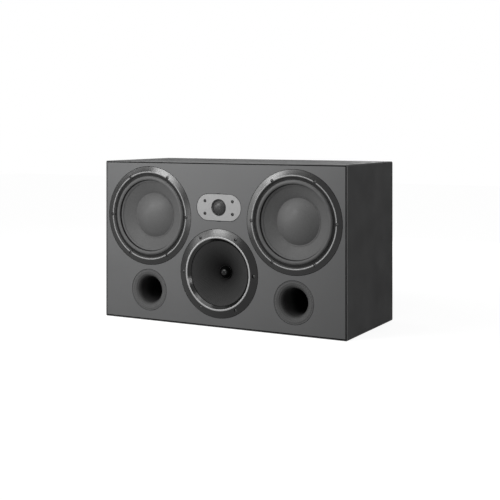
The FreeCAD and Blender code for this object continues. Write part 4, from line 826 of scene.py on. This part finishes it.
def midrange_edge_ring(material):
    """Foam between the chassis and the cone's rim: its back stays, its front goes with the cone."""
    node = "midrange_edge_ring"
    centre = centre_of(node)
    outer = radius_of(node)
    inner = outer - MID_EDGE_WIDTH
    front, back = depths_of(node)
    line = [(inner, front + MID_EDGE_RISE), (outer, front), (outer, back), (inner, back)]
    middle = (front + MID_EDGE_RISE + back) / 2

    def share_of(place):
        return 1.0 if place.y - FACE_Y < middle else 0.0

    piece = finished(f"{node}_foam", turned(node, line, centre), material, None, "lining_foam", node)
    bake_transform(piece, "cabinet", "midrange_motion", Vector((centre.x, FACE_Y + back, centre.z)),
             Vector((centre.x, FACE_Y + front, centre.z)))
    bend(piece, share_of)


# Woofers

def woofer_cone_depth(radius):
    """Depth of the cone's front face at a radius."""
    slope = (WOOFER_CONE_BACK - CONE_WALL - WOOFER_CONE_FRONT) / (WOOFER_CONE - CONE_NECK)
    return WOOFER_CONE_FRONT + slope * (WOOFER_CONE - radius)


def woofer_screw_places(side):
    seat = WOOFER_CREST + HEAD_CLEARANCE + HEAD_HEIGHT
    return circle_places(centre_of(f"woofer_{side}_trim_ring"), WOOFER_RING - WOOFER_SCREW_INSET, seat)


def woofer_trim_ring(side):
    node = f"woofer_{side}_trim_ring"
    centre = centre_of(node)
    outer = WOOFER_RING - WOOFER_BEVEL_WIDTH
    inner = outer - WOOFER_RIDGE_WIDTH
    shoulder = WOOFER_CREST + RING_NOSE
    bore = WOOFER_RING - WOOFER_RING_WIDTH
    line = outline([(bore, RING_EDGE), (WOOFER_RING, RING_EDGE), (WOOFER_RING, 0), (outer, shoulder),
                    ((outer + inner) / 2, WOOFER_CREST, inner, shoulder)])
    mesh = counterbored(turned(node, line, centre), woofer_screw_places(side))
    material = ring_finish(f"{node}_finish", centre, inner, inner + WOOFER_CREST_WIDTH, **WOOFER_RING_LOOK)
    finished(f"{node}_turned", mesh, material, "cabinet", "ring_metal", node)


def woofer_surround(side):
    """Half roll between the flat rim on the chassis and the band on the cone, which it follows."""
    node = f"woofer_{side}_surround"
    centre = centre_of(node)
    half = SURROUND_WALL / 2
    middle = RING_EDGE + SURROUND_GAP + half
    outside, inside = ROLL_RADIUS + half, ROLL_RADIUS - half
    foot = ROLL_CENTRE + math.sqrt(outside ** 2 - half ** 2)
    band_end = ROLL_CENTRE - outside - SURROUND_BAND
    lift = SURROUND_GAP + SURROUND_WALL

    def on_cone(radius, rise):
        return radius, woofer_cone_depth(radius) - rise

    line = outline([
        (SURROUND_RIM, middle - half), (foot, middle - half),
        (ROLL_CENTRE, middle - outside, ROLL_CENTRE - outside, middle),
        on_cone(ROLL_CENTRE - outside, lift), on_cone(band_end, lift), on_cone(band_end, SURROUND_GAP),
        on_cone(ROLL_CENTRE - inside, SURROUND_GAP), (ROLL_CENTRE - inside, middle),
        (ROLL_CENTRE, middle - inside, ROLL_CENTRE + inside, middle),
        (ROLL_CENTRE + inside, middle + half), (SURROUND_RIM, middle + half)])
    still, moving = ROLL_CENTRE + outside, ROLL_CENTRE - outside
    material = rolled_rubber(f"{node}_rubber", centre, still, moving)
    piece = finished(f"{node}_roll", turned(node, line, centre), material, None, "surround_rubber", node)
    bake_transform(piece, "cabinet", f"woofer_{side}_motion", centre + Vector((still, 0, 0)),
             centre + Vector((moving, 0, 0)))
    bend(piece, inward(centre, still, moving))


def woofer_cone(side):
    node = f"woofer_{side}_cone"
    centre = centre_of(node)
    line = [(WOOFER_CONE, WOOFER_CONE_FRONT), (CONE_NECK, WOOFER_CONE_BACK - CONE_WALL),
            (CONE_NECK, WOOFER_CONE_BACK), (WOOFER_CONE, WOOFER_CONE_FRONT + CONE_WALL)]
    finished(f"{node}_pressed", turned(node, line, centre), cone_pulp(f"{node}_pulp", CONE_GREY, centre),
             f"woofer_{side}_motion", "woofer_cone", node)


def woofer_dust_cap(side):
    """A shallow dome whose narrow rim lies on the cone."""
    node = f"woofer_{side}_dust_cap"
    centre = centre_of(node)
    seat = woofer_cone_depth(CAP_RADIUS) - CAP_LIFT
    rim_seat = woofer_cone_depth(WOOFER_CAP_RIM) - CAP_LIFT
    rise = seat - CONE_WALL - WOOFER_CAP_APEX
    sphere = (CAP_RADIUS ** 2 + rise ** 2) / (2 * rise)
    halfway = CAP_RADIUS / 2
    drop = sphere - math.sqrt(sphere ** 2 - halfway ** 2)
    back_apex = WOOFER_CAP_APEX + CONE_WALL
    line = outline([(0, back_apex), (0, WOOFER_CAP_APEX),
                    (halfway, WOOFER_CAP_APEX + drop, CAP_RADIUS, seat - CONE_WALL),
                    (WOOFER_CAP_RIM, rim_seat - CONE_WALL), (WOOFER_CAP_RIM, rim_seat), (CAP_RADIUS, seat),
                    (halfway, back_apex + drop, 0, back_apex)], CAP_ARC_STEP)
    finished(f"{node}_pressed", turned(node, line[:-1], centre), cone_pulp(f"{node}_pulp", CONE_GREY, centre),
             f"woofer_{side}_motion", "woofer_cap", node)


# Midrange

def mid_bevel_depth(radius):
    slope = (MID_CREST + RING_NOSE) / MID_BEVEL_WIDTH
    return slope * (MID_RING - radius)


def mid_screw_places():
    circle = MID_RING - MID_SCREW_INSET
    return circle_places(centre_of("midrange_trim_ring"), circle, mid_bevel_depth(circle) + HEAD_HEIGHT)


def midrange_trim_ring():
    """A bevelled ring that rises to a bright lip, with a funnel inside down to the cone."""
    node = "midrange_trim_ring"
    centre = centre_of(node)
    outer = MID_RING - MID_BEVEL_WIDTH
    inner = outer - MID_LIP_WIDTH
    shoulder = MID_CREST + RING_NOSE
    line = outline([(MID_RING - MID_SEAT_INSET, RING_EDGE), (MID_RING, RING_EDGE), (MID_RING, 0),
                    (outer, shoulder), ((outer + inner) / 2, MID_CREST, inner, shoulder),
                    (inner - MID_FUNNEL_WIDTH, MID_FUNNEL_DEPTH)])
    mesh = counterbored(turned(node, line, centre), mid_screw_places())
    material = ring_finish(f"{node}_finish", centre, inner, inner + MID_CREST_WIDTH, **MID_RING_LOOK)
    finished(f"{node}_turned", mesh, material, "cabinet", "ring_metal", node)


def midrange_cone(material):
    node = "midrange_cone"
    back = MID_CONE_BACK - CONE_WALL
    middle = ((MID_CONE + MID_NECK) / 2, (MID_CONE_FRONT + back) / 2 - MID_CONE_BELLY)
    line = outline([(MID_CONE, MID_CONE_FRONT), middle + (MID_NECK, back), (MID_NECK, MID_CONE_BACK),
                    (middle[0], middle[1] + CONE_WALL, MID_CONE, MID_CONE_FRONT + CONE_WALL)],
                   MID_CONE_ARC_STEP)
    finished(f"{node}_woven", turned(node, line, centre_of(node)), material, "midrange_motion", "mid_weave",
             node)


def midrange_phase_plug(material):
    node = "midrange_phase_plug"
    tip = (0, PLUG_TIP)
    nose = (PLUG_NOSE, PLUG_TIP + PLUG_NOSE_HEIGHT)
    shoulder = (PLUG_RADIUS, PLUG_SHOULDER)
    line = outline([(0, PLUG_FOOT), tip, bulged(tip, nose, PLUG_NOSE_BULGE),
                    bulged(nose, shoulder, PLUG_BULGE), (PLUG_RADIUS, PLUG_FOOT)], PLUG_ARC_STEP)
    finished(f"{node}_turned", turned(node, line, centre_of(node)), material, "cabinet", "plug_metal", node)


# Ports

def port(side, tree, material):
    """Flange, flare and tube in one moulding, the mouth dimpled in rows."""
    node = f"port_{side}"
    centre = centre_of(node)
    arc_radius = PORT_BORE + PORT_FLARE
    back_arc = PORT_FLARE - PORT_WALL
    start = math.asin((PORT_FLARE - PORT_FLANGE_THICKNESS) / back_arc)
    diagonal = PORT_FLARE * math.sqrt(0.5)
    front = outline([(PORT_FLANGE, 0), (arc_radius, 0),
                     (arc_radius - diagonal, PORT_FLARE - diagonal, PORT_BORE, PORT_FLARE)], PORT_FLARE_STEP)
    front[1:1] = [(PORT_FLANGE + (arc_radius - PORT_FLANGE) * i / PORT_FLANGE_STEPS, 0)
                  for i in range(1, PORT_FLANGE_STEPS)]
    back = outline([(PORT_BORE, PORT_BACK), (PORT_BORE + PORT_WALL, PORT_BACK),
                    (PORT_BORE + PORT_WALL, PORT_FLARE),
                    (arc_radius - back_arc * math.cos(start / 2), PORT_FLARE - back_arc * math.sin(start / 2),
                     arc_radius - back_arc * math.cos(start), PORT_FLANGE_THICKNESS),
                    (PORT_FLANGE, PORT_FLANGE_THICKNESS)])
    mesh = turned(node, front + back, centre, PORT_STEPS)
    mark_dimples(mesh, front)
    dimpled = tree.applied(mesh, Material=material, Pitch=DIMPLE_PITCH, Dimple_radius=DIMPLE_RADIUS,
                           Dimple_depth=DIMPLE_DEPTH)
    finished(f"{node}_moulded", dimpled, material, "cabinet", "port_plastic", node)


def mark_dimples(mesh, front):
    """Row, turn and girth of the dimples on the front rings of a port's mesh, row -1 elsewhere."""
    rows = mesh.attributes.new("dimple_row", "FLOAT", "POINT").data
    turns = mesh.attributes.new("dimple_turn", "FLOAT", "POINT").data
    girths = mesh.attributes.new("dimple_girth", "FLOAT", "POINT").data
    travelled = 0.0
    lengths = []
    for point, before in zip(front, front[:1] + front):
        travelled += math.dist(point, before)
        lengths.append(travelled)
    for index in range(len(mesh.vertices)):
        ring, step = divmod(index, PORT_STEPS)
        on_front = ring < len(front)
        rows[index].value = lengths[ring] / DIMPLE_PITCH if on_front else -1.0
        turns[index].value = DIMPLES_AROUND * step / PORT_STEPS
        girths[index].value = math.tau * front[ring][0] / DIMPLES_AROUND if on_front else 1.0


# Screws

def screw_group(name, seats, tree, material, slot, node):
    """All the screws of one node, from their seats and the way that their heads face."""
    mesh = bpy.data.meshes.new(name)
    mesh.from_pydata([place for place, _ in seats], [], [])
    facing = mesh.attributes.new("facing", "FLOAT_VECTOR", "POINT").data
    for item, (_, way) in zip(facing, seats):
        item.vector = way
    made = tree.applied(mesh, Material=material, Head_radius=HEAD_RADIUS, Head_height=HEAD_HEIGHT,
                        Crown_height=CROWN_HEIGHT, Socket_radius=SOCKET_RADIUS, Socket_depth=SOCKET_DEPTH,
                        Shank_radius=SHANK_RADIUS, Shank_length=SHANK_LENGTH, Head_steps=HEAD_STEPS)
    finished(name, made, material, "cabinet", slot, node)


def tweeter_screw_seats():
    centre = centre_of("tweeter_faceplate")
    depth = FACE_Y + TWEETER_SCREW_DEPTH + HEAD_HEIGHT
    return [(Vector((centre.x + sx * TWEETER_SCREW_X, depth, centre.z + sz * TWEETER_SCREW_Z)), FORWARD)
            for sx in (-1, 1) for sz in (-1, 1)]


def small_screw_seats():
    """Screws of the terminal tray, facing backwards, and of the crossover board, upright."""
    low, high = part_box("terminal_tray")
    inset = TRAY_SCREW_INSET
    tray = [(Vector((x, high.y, z)), BACKWARD) for x in (low.x + inset, high.x - inset)
            for z in (low.z + inset, high.z - inset)]
    low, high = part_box("crossover_board")
    inset = BOARD_SCREW_INSET
    board = [(Vector((x, y, high.z)), UPWARD) for x in (low.x + inset, high.x - inset)
             for y in (low.y + inset, high.y - inset)]
    return tray + board


def screws(material):
    tree = screw_tree()
    plating = mottled("driver_screw_plating", grey(0.04), 0.3, {"Metallic": 0.7}, scale=300.0)
    places = [place for side in SIDES for place in woofer_screw_places(side)] + mid_screw_places()
    screw_group("driver_screws_socketed", [(place, FORWARD) for place in places], tree, plating,
                "screw_black", "driver_screws")
    screw_group("tweeter_screws_socketed", tweeter_screw_seats(), tree, material,
                "screw_black", "tweeter_screws")
    screw_group("small_screws_socketed", small_screw_seats(), tree, material, "screw_black", "small_screws")


# Studio

def seen_directly(nodes):
    """1 for camera, glossy and transmission rays, which see the plain white surroundings."""
    rays = nodes.add("ShaderNodeLightPath").node.outputs
    either = nodes.maths(rays["Is Camera Ray"], "MAXIMUM", rays["Is Glossy Ray"])
    return nodes.maths(either, "MAXIMUM", rays["Is Transmission Ray"])


def white_world():
    world = bpy.data.worlds.new("studio")
    bpy.context.scene.world = world
    world.use_nodes = True
    nodes = Nodes(world.node_tree)
    background = nodes.tree.nodes["Background"]
    background.inputs["Color"].default_value = grey(1.0)
    level = nodes.add("ShaderNodeMapRange", {"Value": seen_directly(nodes), "To Min": FILL_STRENGTH,
                                             "To Max": 1.0})
    nodes.tree.links.new(level, background.inputs["Strength"])


def floor():
    """A pale floor that keeps the speaker's shadow and goes over into the white background."""
    mesh = bpy.data.meshes.new("studio_floor")
    half = FLOOR_SIZE / 2
    corners = [(-half, -half, 0), (half, -half, 0), (half, half, 0), (-half, half, 0)]
    mesh.from_pydata(corners, [], [(0, 1, 2, 3)])
    finish = Finish("studio_floor", {"Base Color": grey(FLOOR_GREY), "Roughness": FLOOR_ROUGHNESS,
                                     "Specular IOR Level": 0.0, "Emission Color": grey(1.0)})
    distance = finish.add("ShaderNodeVectorMath", {0: finish.place}, output=1, operation="LENGTH")
    glow = finish.between(distance, FLOOR_GLOW_NEAR, FLOOR_GLOW_FAR, FLOOR_GLOW_START, FLOOR_GLOW_END)
    finish.give("Emission Strength", finish.maths(seen_directly(finish), "MULTIPLY", glow))
    mesh.materials.append(finish.material)
    holder_of(mesh)


def softbox(name, place, size, power):
    light = bpy.data.lights.new(name, "AREA")
    light.shape = "RECTANGLE"
    light.size, light.size_y = size
    light.energy = power
    lamp = bpy.data.objects.new(name, light)
    lamp.location = place
    lamp.rotation_euler = (LAMP_AIM - place).to_track_quat("-Z", "Y").to_euler()
    lamp.visible_camera = False
    bpy.context.scene.collection.objects.link(lamp)


def camera():
    lens = bpy.data.cameras.new("camera")
    lens.lens = CAMERA_LENS
    lens.shift_y = CAMERA_SHIFT
    eye = bpy.data.objects.new("camera", lens)
    eye.location = CAMERA_PLACE
    eye.rotation_euler = (math.pi / 2, 0.0, CAMERA_TURN)
    bpy.context.scene.collection.objects.link(eye)
    bpy.context.scene.camera = eye


# The speaker

MATERIALS = slot_materials()
dress_solids(MATERIALS)
PORT_TREE = dimple_tree()
for SIDE in SIDES:
    woofer_trim_ring(SIDE)
    woofer_surround(SIDE)
    woofer_cone(SIDE)
    woofer_dust_cap(SIDE)
    spider(f"woofer_{SIDE}", material=MATERIALS["spider_cloth"], **WOOFER_SPIDER)
    port(SIDE, PORT_TREE, MATERIALS["port_plastic"])
midrange_trim_ring()
midrange_cone(MATERIALS["mid_weave"])
midrange_phase_plug(MATERIALS["plug_metal"])
midrange_edge_ring(MATERIALS["lining_foam"])
spider("midrange", material=MATERIALS["spider_cloth"], **MID_SPIDER)
screws(MATERIALS["screw_black"])

white_world()
floor()
for NAME, (PLACE, SIZE, POWER) in LAMPS.items():
    softbox(NAME, Vector(PLACE), SIZE, POWER)
camera()
bpy.context.scene.view_settings.view_transform = "Standard"
